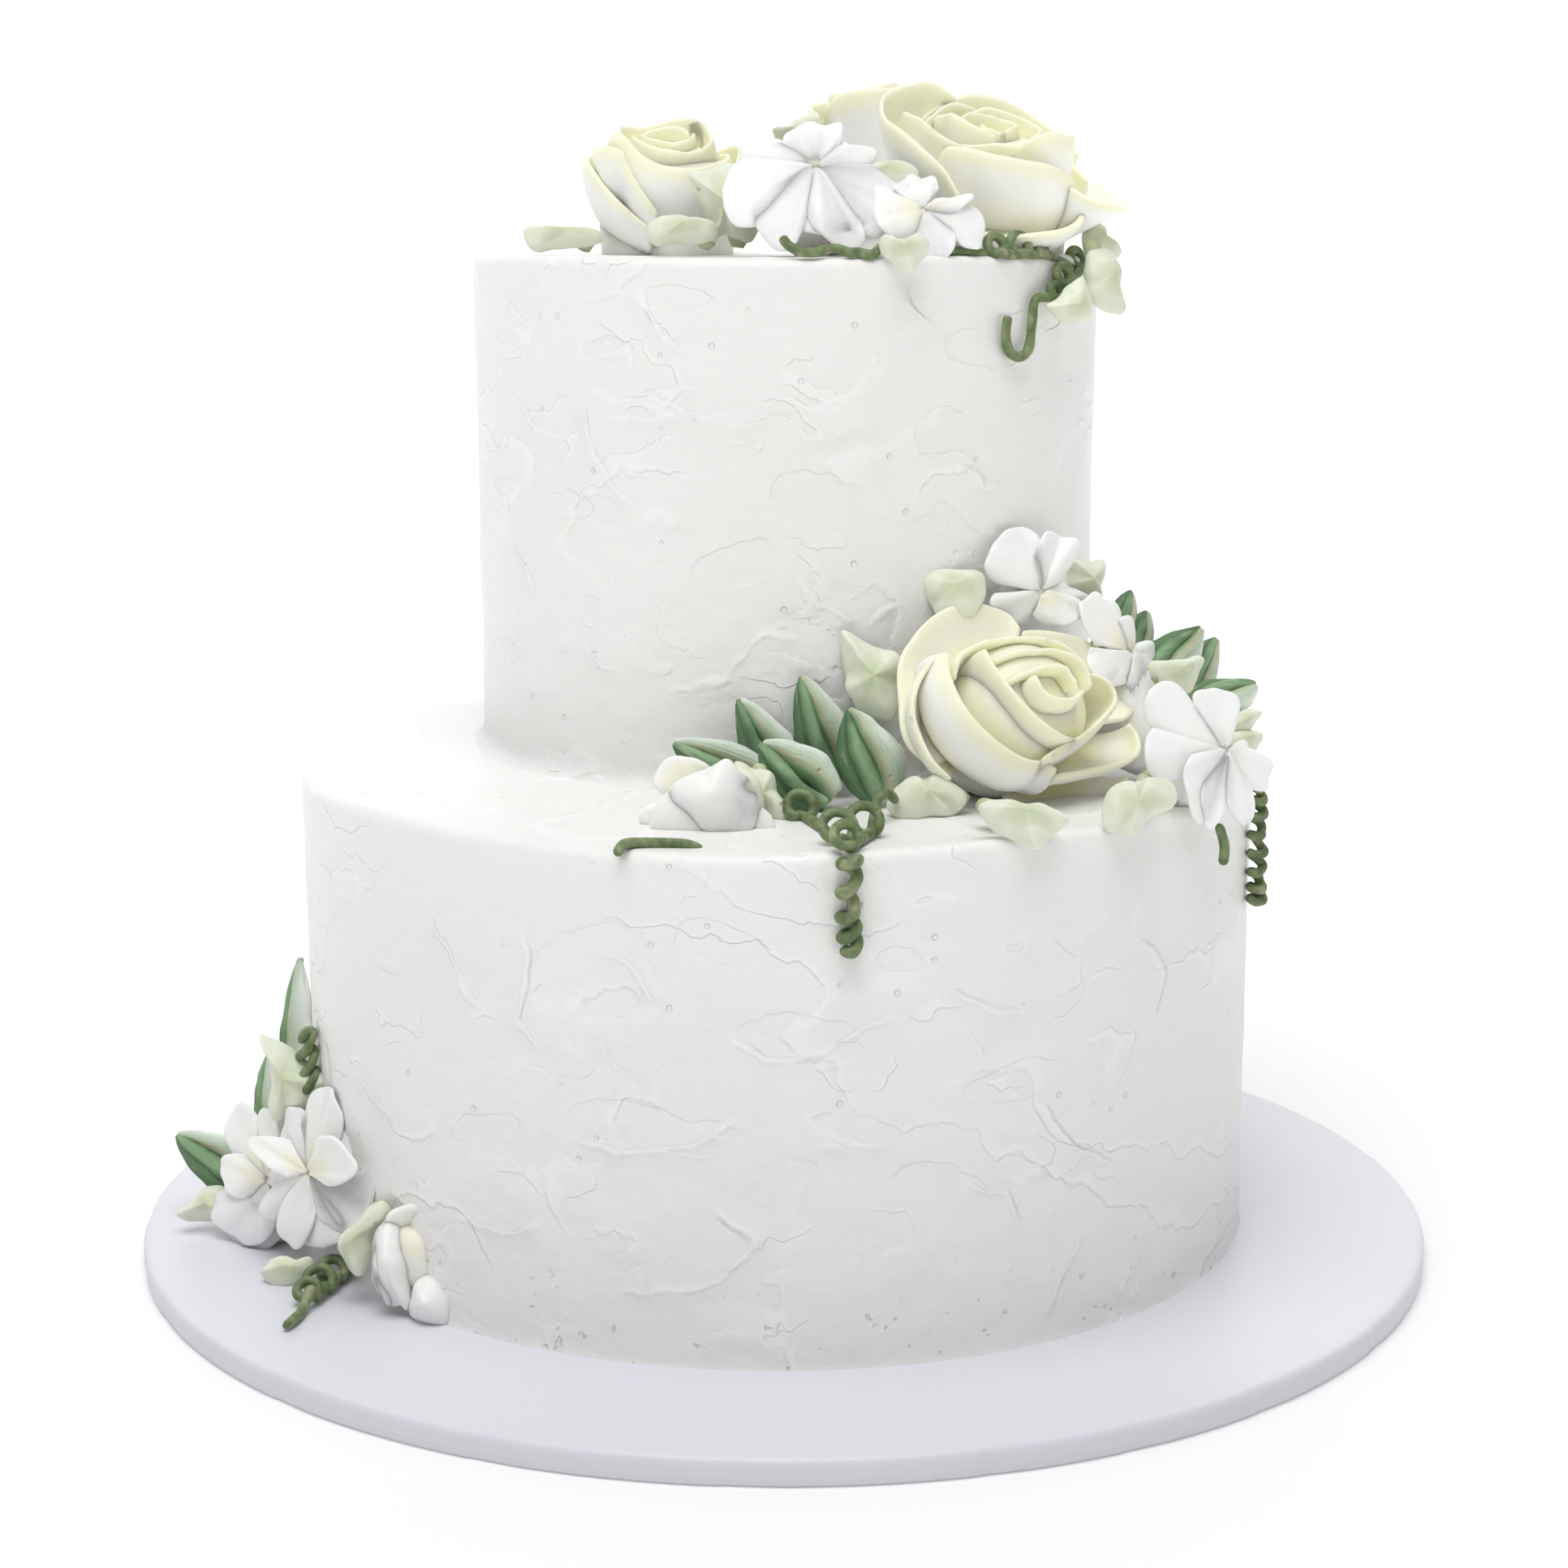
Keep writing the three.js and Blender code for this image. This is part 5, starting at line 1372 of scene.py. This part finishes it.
# %% Pale leaves
# (foot on the cake, middle, the way it faces, outline).
PALE_LEAVES = {
    "leaf_top_1": ((-9, -15, 233), (-13, -14.5, 242.5), (0, -0.95, 0.25), [
        (-8.1, 6.5, 1.2), (-4.4, 8.6, -1), (2.0, 9.5, -1), (7.4, 3.6, -1), (8.3, -2.6, -1.5), (5.9, -7.7, -1),
        (2.0, -7.9, 0.5), (-0.2, -6.4, -1), (-2.3, -7.5, 0.5), (-2.6, -4.6, -1), (-4.9, -0.2, -1), (-7.4, 4.3, 0)]),
    "leaf_top_2": ((-15, -22, 234), (-22, -22, 237), (0, -0.85, 0.5), [
        (-8.2, -1.0, 0), (-7.5, 1.5, 0.6), (-5.6, 3.3, 0.2), (-2.4, 4.0, -0.6), (0.8, 3.6, -0.6), (4.1, 2.6, 0.4),
        (7.3, 2.0, -1), (7.3, -2.1, -1), (3.1, -3.2, 0), (-2.3, -2.9, -0.6), (-6.6, -3.2, 0)]),
    "leaf_top_3": ((-43, -2, 233.5), (-49.5, -3, 235.5), (0, -0.85, 0.5), [
        (-9.8, 1.5, 0.6), (-7.8, 2.1, 0.2), (-3.3, 2.3, -0.4), (1.4, 1.6, 0.4), (7.3, 1.8, -0.6), (8.2, -0.5, -1),
        (5.5, -2.3, 0), (1.6, -3.1, 1.0), (-3.1, -3.2, -0.2), (-7.0, -3.4, -1), (-8.7, -1.5, -0.4)]),
    "leaf_top_4": ((1, 2, 246), (3.5, 2.5, 258), (0, -0.9, 0.4), [
        (-6.4, 1.5, 0.8), (-3.1, 2.1, -0.6), (-1.1, 3.5, 0.4), (2.8, 4.2, 0.6), (5.7, 3.3, -0.6), (5.0, -4.0, -1),
        (-1.8, -4.4, -1), (-5.0, -1.5, -0.5)]),
    "leaf_top_5": ((29, -20, 240), (23.5, -19, 249), (0, -0.8, 0.6), [
        (-6.7, 0.6, 0.6), (-2.1, 3.4, -0.5), (2.3, 3.3, 0.2), (5.9, 1.0, 0), (4.8, -3.4, -0.6), (0.4, -3.2, 0.3),
        (-3.4, -1.0, -0.5)]),
    "leaf_top_6": ((26, -41, 230), (25.5, -43, 233.5), (0, -0.9, 0.35), [
        (-5.2, 1.3, -0.4), (-4.8, 2.5, 0.2), (-3.6, 3.0, 0.4), (-1.9, 2.5, -0.2), (0.1, 2.2, -0.8), (2.1, 2.7, -0.2),
        (3.8, 3.2, 0.4), (5.2, 1.8, 0.2), (5.4, 0.2, -0.4), (4.4, -2.0, -0.8), (1.7, -5.3, 0.2), (-0.9, -3.9, -0.6),
        (-3.3, -2.1, -1), (-5.0, -0.4, -0.8)]),
    "leaf_top_7": ((69, -8, 236), (71.5, -11, 226.5), (0.6, -0.75, 0.3), [
        (-4.3, 2.6, -0.6), (-3.0, 5.8, 0), (-0.1, 6.6, 0.4), (2.8, 6.2, 0.2), (5.6, 4.3, -0.6), (6.6, 1.6, -0.8),
        (5.0, -2.7, -0.8), (4.3, -8.3, 0.2), (2.3, -8.2, -0.4), (-1.5, -7.4, -0.4), (-5.1, -4.7, -0.2),
        (-4.9, -1.0, -1)]),
    "leaf_top_8": ((65, -18, 225), (63.5, -21.5, 220.5), (0.5, -0.8, 0.2), [
        (-6.4, 0.2, 0), (-4.0, 1.7, -0.6), (-1.4, 3.0, -0.2), (-0.2, 4.7, 0.3), (3.1, 6.4, 0.4), (5.2, 4.2, -0.4),
        (6.3, 1.1, -0.8), (5.3, -2.7, -0.2), (2.2, -3.6, -0.2), (-1.4, -3.2, -0.8), (-4.3, -1.9, -0.6)]),
    "leaf_top_9": ((70, 8, 237), (72, 5, 234), (0.4, -0.75, 0.5), [
        (-2.0, 4.3, -0.4), (0.3, 5.5, 0.4), (2.2, 4.0, -0.2), (2.5, 1.2, -1), (4.8, -0.7, -0.2), (5.6, -2.7, 0.3),
        (4.0, -4.0, -0.3), (0.1, -3.7, 0), (-3.6, -2.3, -0.6), (-3.4, 1.4, -0.8)]),
    "leaf_ledge_1": ((23, -40, 131), (19.5, -47.5, 141.5), (0, -0.93, 0.25), [
        (-7.1, 10.4, 1.2), (-4.2, 9.3, 0), (-1.0, 7.6, -0.9), (2.5, 6.2, -0.8), (5.3, 5.3, 0.4), (6.7, 2.7, 0.2),
        (5.7, -0.7, -1.6), (5.5, -4.7, -0.6), (4.2, -9.1, 0.6), (1.4, -9.6, 0.4), (-2.3, -7.9, -1.4),
        (-4.3, -5.1, -0.4), (-5.9, -2.7, 0.2), (-6.2, 1.4, -1.3), (-7.1, 6.3, -0.6)]),
    "leaf_ledge_2": ((42, -30, 157), (38, -38.5, 159.5), (-0.1, -0.88, 0.4), [
        (-7.1, 1.8, 0.8), (-6.5, 3.9, 0), (-3.5, 4.8, -1), (1.8, 5.0, -0.6), (4.8, 4.3, 0.4), (6.4, 2.7, -0.4),
        (6.0, -1.9, -1.2), (3.1, -6.1, 0.4), (-3.1, -6.5, 0.2), (-5.6, -3.6, -1), (-7.1, -0.5, -0.4)]),
    "leaf_ledge_3": ((58, -14, 154), (69, -15.5, 159), (0.3, -0.93, 0.2), [
        (-4.4, 4.9, 0.3), (-2.4, 4.7, -0.4), (1.1, 4.2, -0.6), (3.9, 4.4, 0.4), (4.8, 3.0, 0.4), (4.6, 1.1, -0.3),
        (3.7, -1.3, -0.8), (3.5, -4.7, 0), (-0.4, -5.2, -0.4), (-5.5, -2.4, -0.6), (-4.5, 0.9, -1)]),
    "leaf_ledge_4": ((81, -39, 140), (88, -38, 141), (0.1, -0.85, 0.5), [
        (-6.9, 2.7, -0.4), (-2.4, 3.0, -0.6), (1.2, 3.3, 0), (4.1, 3.6, 0.6), (5.3, 2.7, 0.4), (3.9, -0.4, -0.6),
        (1.7, -4.5, -0.2), (-2.2, -4.1, -0.6), (-5.8, -2.1, -0.6)]),
    "leaf_ledge_5": ((95, -40, 128), (102.5, -36, 129.5), (0.2, -0.85, 0.5), [
        (-3.8, -1.2, -0.4), (-1.5, 1.3, -0.6), (0.1, 2.7, -0.3), (2.3, 2.8, 0.2), (4.3, 1.8, 0.5), (3.2, 0.0, -0.3),
        (1.1, -1.9, -0.2), (-1.6, -2.2, -0.5)]),
    "leaf_ledge_6": ((95, -41, 121), (102.5, -37, 125.5), (0.2, -0.85, 0.5), [
        (-4.0, 1.3, -0.4), (-1.8, 2.5, -0.4), (1.3, 2.5, -0.6), (4.0, 1.2, 0.4), (4.2, -0.1, 0.3), (3.1, -1.7, -0.4),
        (1.0, -3.1, -0.2), (-3.4, -1.4, -0.5)]),
    "leaf_ledge_7": ((40, -67, 119), (30.5, -69, 119), (0, -0.8, 0.6), [
        (-8.7, -0.9, -0.6), (-7.5, 1.8, -0.3), (-5.2, 3.6, 0.5), (-3.1, 5.0, 0.4), (-0.8, 4.8, -1.2), (1.5, 5.5, 0.5),
        (3.8, 5.0, 0.4), (5.9, 3.4, -0.4), (8.1, 0.7, -0.6), (7.7, -1.5, -0.8), (5.8, -3.0, -1.4), (3.4, -3.9, 0.2),
        (0.9, -3.8, -0.4), (-2.6, -5.1, 0), (-6.0, -4.6, -0.4), (-7.9, -3.1, -0.8)]),
    "leaf_ledge_8": ((40, -80, 120), (49, -95.5, 121), (0.05, -0.85, 0.5), [
        (-9.9, 1.5, 0.5), (-8.8, 2.7, 0.2), (-6.6, 3.5, -0.3), (-3.5, 3.6, -0.5), (0.1, 2.3, -0.5), (3.2, 2.8, -0.6),
        (6.5, 1.1, -0.4), (9.1, -1.3, 0.4), (6.7, -3.8, -1.2), (4.1, -5.5, -0.3), (1.6, -7.6, 0.8), (-0.4, -6.6, 0),
        (-3.3, -4.8, -0.9), (-6.4, -2.8, -1), (-8.9, -0.6, -0.5)]),
    "leaf_ledge_9": ((78, -68, 124), (73, -83, 121), (0.1, -0.88, 0.4), [
        (-7.1, -1.0, -0.3), (-6.0, 2.1, -0.2), (-3.5, 4.2, 0.3), (-1.0, 4.9, 0.2), (1.1, 4.9, -1.5), (3.0, 5.3, 0.4),
        (5.9, 5.2, 0.5), (8.2, 3.9, 0), (9.1, 0.9, -0.2), (8.0, -1.4, -0.8), (5.0, -2.2, -0.8), (2.6, -3.1, -1.2),
        (0.4, -6.2, 0.4), (-2.1, -7.6, 0.8), (-4.1, -6.6, -0.6), (-6.4, -5.6, -0.3), (-7.0, -3.4, -0.6)]),
    "leaf_ledge_10": ((-6, -64, 126), (-3.5, -69, 119.5), (-0.2, -0.88, 0.4), [
        (-7.9, 6.6, 0.8), (-6.4, 7.1, 0.3), (-4.2, 5.9, -0.8), (-2.0, 5.8, -0.2), (0.6, 5.2, 0.5), (1.6, 2.8, -0.4),
        (2.1, 0.9, -1), (4.0, -1.0, 0), (5.2, -3.2, 0.3), (4.5, -5.1, 0.2), (2.6, -5.4, -0.4), (0.4, -4.5, -0.4),
        (-2.1, -2.3, -0.4), (-4.8, 0.6, -0.6), (-6.6, 3.8, -0.2)]),
    "leaf_base_1": ((-110, -37, 37), (-112.5, -34, 47), (-0.35, -0.93, 0.1), [
        (-8.4, 9.0, 1.2), (-5.9, 8.4, -0.2), (-2.0, 6.8, -0.9), (0.7, 4.8, -0.8), (3.8, 2.9, -0.6), (7.3, 0.8, 0),
        (8.6, -1.1, 0.3), (6.1, -3.9, -0.8), (4.7, -7.2, 0.6), (2.6, -9.4, 0.2), (-0.0, -8.5, -1), (-1.7, -8.9, -1),
        (-3.5, -10.8, 0.3), (-5.0, -11.0, 0.2), (-6.5, -7.9, -0.8), (-5.6, -3.6, -0.9), (-5.7, 1.7, -0.6),
        (-7.4, 5.7, 0)]),
    "leaf_base_2": ((-127, -24, 12), (-135, -25.5, 12), (-0.1, -0.8, 0.6), [
        (-6.9, -2.5, 0.6), (-5.3, 0.4, -0.4), (-2.9, 3.7, -0.4), (-0.5, 5.4, 0.2), (2.4, 5.6, 0), (4.7, 3.6, -0.5),
        (5.2, -1.9, -0.4), (1.4, -2.6, -0.6), (-2.2, -2.9, -0.9), (-5.1, -3.2, -0.2)]),
    "leaf_base_3": ((-112, -56, 7), (-111.5, -57.5, 8.5), (0, -0.75, 0.65), [
        (-5.5, -0.5, 0.5), (-4.4, 1.2, 0), (-3.8, 2.7, -0.3), (-1.8, 3.7, -0.5), (1.0, 3.2, -0.7), (3.6, 2.2, -0.6),
        (5.3, 2.9, 0.2), (6.1, 1.2, 0), (5.7, -0.5, 0), (3.8, -2.1, -0.4), (0.8, -3.3, -0.6), (-2.2, -3.2, -0.9),
        (-4.3, -2.1, -0.3)]),
    "leaf_base_4": ((-88, -68, 29), (-92.5, -70.5, 21), (-0.4, -0.88, 0.2), [
        (-5.7, -3.0, -0.2), (-5.5, -0.7, -0.4), (-3.4, 1.6, -0.5), (-1.4, 3.7, 0), (0.4, 5.8, 0.2), (2.6, 7.9, 0.4),
        (5.2, 8.8, 0.5), (6.4, 7.3, -0.2), (5.4, 5.0, -0.8), (3.3, 3.4, -0.8), (2.5, 1.0, -0.5), (2.5, -3.1, -0.8),
        (2.3, -6.6, 0), (0.8, -8.2, 0.4), (-1.3, -8.2, 0), (-3.8, -5.9, -0.9)]),
}


print("Pale leaves:", len(PALE_LEAVES))

# %% Piping the dark leaves
FLUTES = [(-1.2,), (-0.3,), (0.1,), (1.2,), (-0.7,), (0.5,), (0.9,), (0.3,), (-1.1,)]
FLUTE_HEIGHT = 1.7
LEAF_SPREAD = 1.15
LEAF_THICKNESS = 1.5
LEAF_COLUMNS, LEAF_ROWS = 26, 18


def leaf_surface(length, width, shape, seed):
    """The middle of a dark leaf: FLUTES is its profile from the left edge to the right."""
    blunt, lobed, arch = shape

    def middle(u, v):
        opened = 0.5 + 0.5 * smoothstep(0, 0.4, v)
        spread = max(opened * (1 - v**blunt) ** 0.78, 0.02)
        lobes = 1 + lobed * noise.noise(Vector((math.copysign(3, u), v * 4.5, seed * 5.1)))
        lobes += 0.1 * noise.noise(Vector((math.copysign(7, u), v * 16, seed * 3.7)))
        side = u * width * 0.5 * spread * lobes
        drift = 0.16 * noise.noise(Vector((seed * 6.1, v * 1.6, 0)))
        crest = FLUTE_HEIGHT * along_curve(FLUTES, (u + 1) / 2 + drift * (1 - u * u))[0] * min(1, 1.8 * spread)
        bow = arch * math.sin(math.pi * v)
        wave = 0.6 * noise.noise(Vector((u * 1.5, v * 3, seed * 2.7)))
        shift = 0.9 * noise.noise(Vector((v * 2.5, seed * 3.3, 0)))
        return Vector((side + shift * v, v * length, crest + bow + wave * v))

    return middle


def dark_leaf(node, seed, foot, tip, facing, width, shape=POINTED):
    def half(u, v):
        return LEAF_THICKNESS * (1 - 0.45 * v) * (1 - 0.35 * u * u)

    bm = bmesh.new()
    surface = leaf_surface(math.dist(foot, tip), width * LEAF_SPREAD, shape, seed)
    piped_sheet(bm, LEAF_COLUMNS, LEAF_ROWS, surface, half, strip=seed, square=0.7)
    bm.transform(leaf_frame(foot, tip, facing))
    finish_piece("piped_" + node, bm, DARK, [node], levels=1)


for seed, (node, placement) in enumerate(DARK_LEAVES.items()):
    dark_leaf(node, seed, *placement)
print("Piped dark leaves, with", LEAF_COLUMNS, "by", LEAF_ROWS, "faces on each side")

# %% Piping the pale leaves
MOUND_BEHIND = 1.5
SHORTEST_MOUND = 3


def pale_leaf(node, seed, foot, at, axis, rim):
    bm = bmesh.new()
    reach = sum(math.hypot(x, y) for x, y, _ in rim) / len(rim)
    add_pillow(bm, rim, 1.5 + 0.14 * reach, 1.4 + 0.08 * reach, seed)
    bm.transform(flower_frame(at, axis))
    behind = Vector(at) - Vector(axis).normalized() * MOUND_BEHIND
    if math.dist(foot, behind) > SHORTEST_MOUND:
        add_mound(bm, foot, lerp(behind, Vector(foot), 0.25), reach * 0.4)
    finish_piece("piped_" + node, bm, PALE, [node], levels=1)


for seed, (node, placement) in enumerate(PALE_LEAVES.items()):
    pale_leaf(node, seed, *placement)
print("Piped pale leaves, with mounds behind those that stand off by", SHORTEST_MOUND, "mm")

# %% [markdown]
# ## Vines
#
# A vine is a round rope of icing. Piped slowly it falls in leaning loops, like a row of fallen
# rings, and where the hand circles it lies in rings that face outward. Its route is the same as in
# the CAD model, with more steps, and the rope swells and thins a little.
#
# A curve object with a bevel would make a rope too. A grid wrapped round the route is used
# because it can be closed, swell and taper in one go.


# %% Routes of the vines
def on_wall(tier, azimuth, height, stand_off=VINE_RADIUS + 0.3):
    angle = math.radians(azimuth)
    radius = tier["radius"] + stand_off
    return (tier["x"] + radius * math.cos(angle), tier["y"] + radius * math.sin(angle), height)


def curls(guide, turns, loop, outward, lean):
    """A route that lies in leaning loops, like a row of fallen rings, along its guide points."""
    up = Vector(outward).normalized()
    steps = round(turns * 8)
    route = []
    for i in range(steps + 1):
        t = i / steps
        point = Vector(along_curve(guide, t))
        ahead, behind = along_curve(guide, min(t + 0.01, 1)), along_curve(guide, max(t - 0.01, 0))
        along = (Vector(ahead) - Vector(behind)).normalized()
        side = up.cross(along).normalized()
        angle = i / 8 * 2 * math.pi
        rise = math.sin(math.radians(lean))
        size = loop * (1 + 0.15 * math.sin(2.4 * angle))
        point += side * size * math.cos(angle)
        point += along * size * math.cos(math.radians(lean)) * math.sin(angle)
        point += up * size * rise * (1 + math.sin(angle))
        route.append(tuple(point))
    return route


def ringed(centres, loop, outward, start=-70):
    """A route that goes round each centre in turn, each ring facing outward."""
    n = Vector(outward).normalized()
    right = Vector((0, 0, 1)).cross(n).normalized()
    up = n.cross(right)
    route = []
    for number, centre in enumerate(centres):
        size = loop * (1 + 0.14 * math.sin(2.4 * number))
        for i in range(9):
            angle = math.radians(start + 45 * i)
            ahead = (i / 8 - 0.5) * 2.1
            route.append(tuple(Vector(centre) + (right * math.cos(angle) + up * math.sin(angle)) * size + n * ahead))
    return route


def top_vine():
    def edge(azimuth, inset, height):
        return on_wall(UPPER, azimuth, height, -inset)

    rest = TOP_Z + VINE_RADIUS + 0.2
    wave = [
        edge(-90.7, 2.5, rest + 3.5), edge(-89.5, 2, rest + 1.5), edge(-87.3, 1, rest + 0.2), edge(-85, 1, rest),
        edge(-82.8, 2.5, rest + 0.6), edge(-81, 2.5, rest + 0.8), edge(-79.2, 1, rest), edge(-77.6, 1.2, rest),
        edge(-75.5, 0.2, rest - 0.6), edge(-73.5, 2, rest + 0.8), edge(-71.5, 3, rest + 1.6), edge(-68, 3, rest + 0.5),
        edge(-62, 3, rest), edge(-57, 3, rest),
    ]
    rim_loops = ringed([(46.5, -26, 234), (52, -21, 234), (56.5, -16, 233.5)], 2.2, (0.3, -0.85, 0.35))
    fallen = ringed([(66.5, -1.5, 230.5), (62.5, -14.5, 227), (60.5, -18, 223.5)], 2.2, (0.6, -0.75, 0.25))
    hook = [
        (56, -22, 222.5), (55, -23.2, 218), (54.5, -23.8, 213), (53.6, -25, 210.6), (51.8, -26.4, 209.8),
        (49.8, -28, 210.8), (48.8, -29, 213.5), (48.8, -29, 216.5), (49.2, -28.8, 219),
    ]
    return wave + rim_loops + fallen + hook


def routes():
    """Each vine's name, route and radius."""
    ledge_rest = LEDGE_Z + VINE_RADIUS + 0.3
    board_rest = BOARD_TOP + VINE_RADIUS + 0.3
    rings = ringed([(3.5, -72, 118), (11, -97, 119), (12.5, -105.5, 119), (16.5, -91, 119)], 2.9, (0, -0.85, 0.5))
    arch = [
        (19, -79, ledge_rest + 1), (20, -76, ledge_rest + 4), (22, -74, ledge_rest + 4.5), (24, -72, ledge_rest + 2),
    ]
    trail = curls(
        [on_wall(LOWER, -82.5, LEDGE_Z + 0.5, 1.2), on_wall(LOWER, -82.8, 104, 1.2), on_wall(LOWER, -82.4, 96.5, 1.2)],
        4.5, 1.5, (0.12, -0.98, 0.1), 50,
    )
    tail = [
        (-33.5, -107.5, ledge_rest - 1.2), (-32.5, -104, ledge_rest), (-30.5, -101, ledge_rest - 0.2),
        (-26, -99.5, ledge_rest - 0.6), (-20.5, -99, ledge_rest - 0.8), (-16.5, -98, ledge_rest - 2.5),
    ]
    start = [(-97, -50, board_rest + 0.5), (-98.5, -54, board_rest)]
    coil = start + ringed([(-101, -59, 9.5), (-103, -65, 9.5), (-104.5, -71.5, 9.5)], 2.7, (-0.1, -0.7, 0.7), -40)
    end = [(-103.5, -74, 10.5), (-104.5, -77.5, board_rest), (-105.5, -83, board_rest), (-107, -88, board_rest)]
    right = curls([on_wall(LOWER, -18, LEDGE_Z), on_wall(LOWER, -16, 86)], 8, 1.6, (0.95, -0.3, 0.1), 55)
    knot = curls([on_wall(LOWER, -161, 58), on_wall(LOWER, -160, 45)], 3.5, 2.2, (-0.9, -0.4, 0), 40)
    yield "vine_top", top_vine(), VINE_RADIUS
    yield "vine_ledge", rings + arch, VINE_RADIUS
    yield "vine_trail", trail, TRAIL_RADIUS
    yield "vine_tail", tail, VINE_RADIUS
    yield "vine_stem", [(93, -66, 113), (94.5, -66, 108), (94, -67.5, 104)], VINE_RADIUS
    yield "vine_right", right, VINE_RADIUS
    yield "vine_base_knot", knot, VINE_RADIUS
    yield "vine_base", coil + end, VINE_RADIUS


# %% Piping the vines
ROPE_SIDES, ROPE_STEPS = 12, 5


def rope(name, route, radius, seed):
    along = len(route) * ROPE_STEPS
    bm = bmesh.new()
    corners = bmesh.ops.create_grid(bm, x_segments=ROPE_SIDES, y_segments=along, size=1)["verts"]
    rings = {}
    up = Vector((0, 0, 1))
    for j in range(along + 1):
        t = j / along
        point = Vector(along_curve(route, t))
        ahead, behind = along_curve(route, min(t + 0.002, 1)), along_curve(route, max(t - 0.002, 0))
        forward = (Vector(ahead) - Vector(behind)).normalized()
        side = (up - forward * up.dot(forward)).normalized()
        up = side
        rings[j] = (point, side, forward.cross(side))
    for corner in corners:
        u, v = corner.co.x, (corner.co.y + 1) / 2
        point, side, across = rings[round(v * along)]
        end = min(v, 1 - v) * along
        plump = 1 + 0.12 * noise.noise(point * 0.45 + Vector((seed * 9, 0, 0)))
        width = radius * plump * math.sqrt(1 - (1 - min(end / 3, 1)) ** 2 * 0.999)
        angle = math.pi * u
        corner.co = point + (side * math.cos(angle) + across * math.sin(angle)) * width
    bmesh.ops.remove_doubles(bm, verts=bm.verts, dist=0.06)
    bmesh.ops.holes_fill(bm, edges=[edge for edge in bm.edges if edge.is_boundary], sides=0)
    finish_piece("piped_" + name, bm, VINE, [name], levels=1)


for seed, (name, route, radius) in enumerate(routes()):
    rope(name, route, radius, seed)
print("Vines:", seed + 1)

# %% [markdown]
# ## Studio
#
# White icing needs a white background and soft light, or it looks grey or flat. The floor bends up,
# far behind the cake, into a white wall. It glows, and more so with distance, so that it comes out
# white while the board still has a soft shadow under its edge. A wide lamp hangs above, in front
# and a little to the left, and a dim white sky fills the shadows.
#
# The view transform is Standard, because the filmic ones turn white icing grey.


# %% Floor, sky and lamp
FLOOR_HALF_WIDTH, WALL_BEHIND, WALL_BEND, WALL_TOP = 5, 2.4, 0.9, 4.0
FLOOR_GLOW = 0.8
SKY_LIGHT = 0.35
KEY_AT, KEY_TARGET, KEY_SIZE, KEY_POWER = (-0.12, -0.52, 1.65), (0, 0, 0.12), 1.3, 19.5


def white_floor():
    """A white floor that bends up, far behind the cake, into a white wall."""
    profile = [(-3.0, 0.0), (WALL_BEHIND, 0.0)]
    for turn in (0.3, 0.6, 0.9, 1.2, 1.571):
        profile.append((WALL_BEHIND + WALL_BEND * math.sin(turn), WALL_BEND - WALL_BEND * math.cos(turn)))
    profile.append((WALL_BEHIND + WALL_BEND, WALL_TOP))
    bm = bmesh.new()
    verts = [bm.verts.new((-FLOOR_HALF_WIDTH, y, z)) for y, z in profile]
    edges = [bm.edges.new(pair) for pair in zip(verts, verts[1:])]
    swept = bmesh.ops.extrude_edge_only(bm, edges=edges)["geom"]
    moved = [item for item in swept if isinstance(item, bmesh.types.BMVert)]
    bmesh.ops.translate(bm, vec=(2 * FLOOR_HALF_WIDTH, 0, 0), verts=moved)
    for face in bm.faces:
        face.smooth = True
    mesh = bpy.data.meshes.new("floor")
    bm.to_mesh(mesh)
    bm.free()
    floor = bpy.data.objects.new("floor", mesh)
    bpy.context.scene.collection.objects.link(floor)
    material, tree, shader = new_material("floor white", 0.9)
    shader.inputs["Base Color"].default_value = (0.8, 0.8, 0.8, 1)
    distance = add_node(tree, "ShaderNodeVectorMath", operation="LENGTH")
    link(tree, object_place(tree), distance.inputs[0])
    glow = map_range(tree, distance.outputs["Value"], 0.15, 0.6)
    link(tree, mix_colour(tree, glow, (0.2, 0.2, 0.2), (1.0, 1.0, 1.0)), shader.inputs["Emission Color"])
    shader.inputs["Emission Strength"].default_value = FLOOR_GLOW
    mesh.materials.append(material)


def lamp(name, at, target, size, power):
    data = bpy.data.lights.new(name, "AREA")
    data.shape = "DISK"
    data.size = size
    data.energy = power
    lamp_object = bpy.data.objects.new(name, data)
    lamp_object.location = at
    aim = Vector(target) - Vector(at)
    lamp_object.rotation_euler = aim.to_track_quat("-Z", "Y").to_euler()
    bpy.context.scene.collection.objects.link(lamp_object)


white_floor()
world = bpy.data.worlds.new("studio")
world.use_nodes = True
sky = world.node_tree.nodes["Background"]
sky.inputs["Color"].default_value = (1, 1, 1, 1)
sky.inputs["Strength"].default_value = SKY_LIGHT
bpy.context.scene.world = world
lamp("key", KEY_AT, KEY_TARGET, KEY_SIZE, KEY_POWER)
bpy.context.scene.view_settings.view_transform = "Standard"
print("Lamp of", KEY_POWER, "W at", KEY_AT)
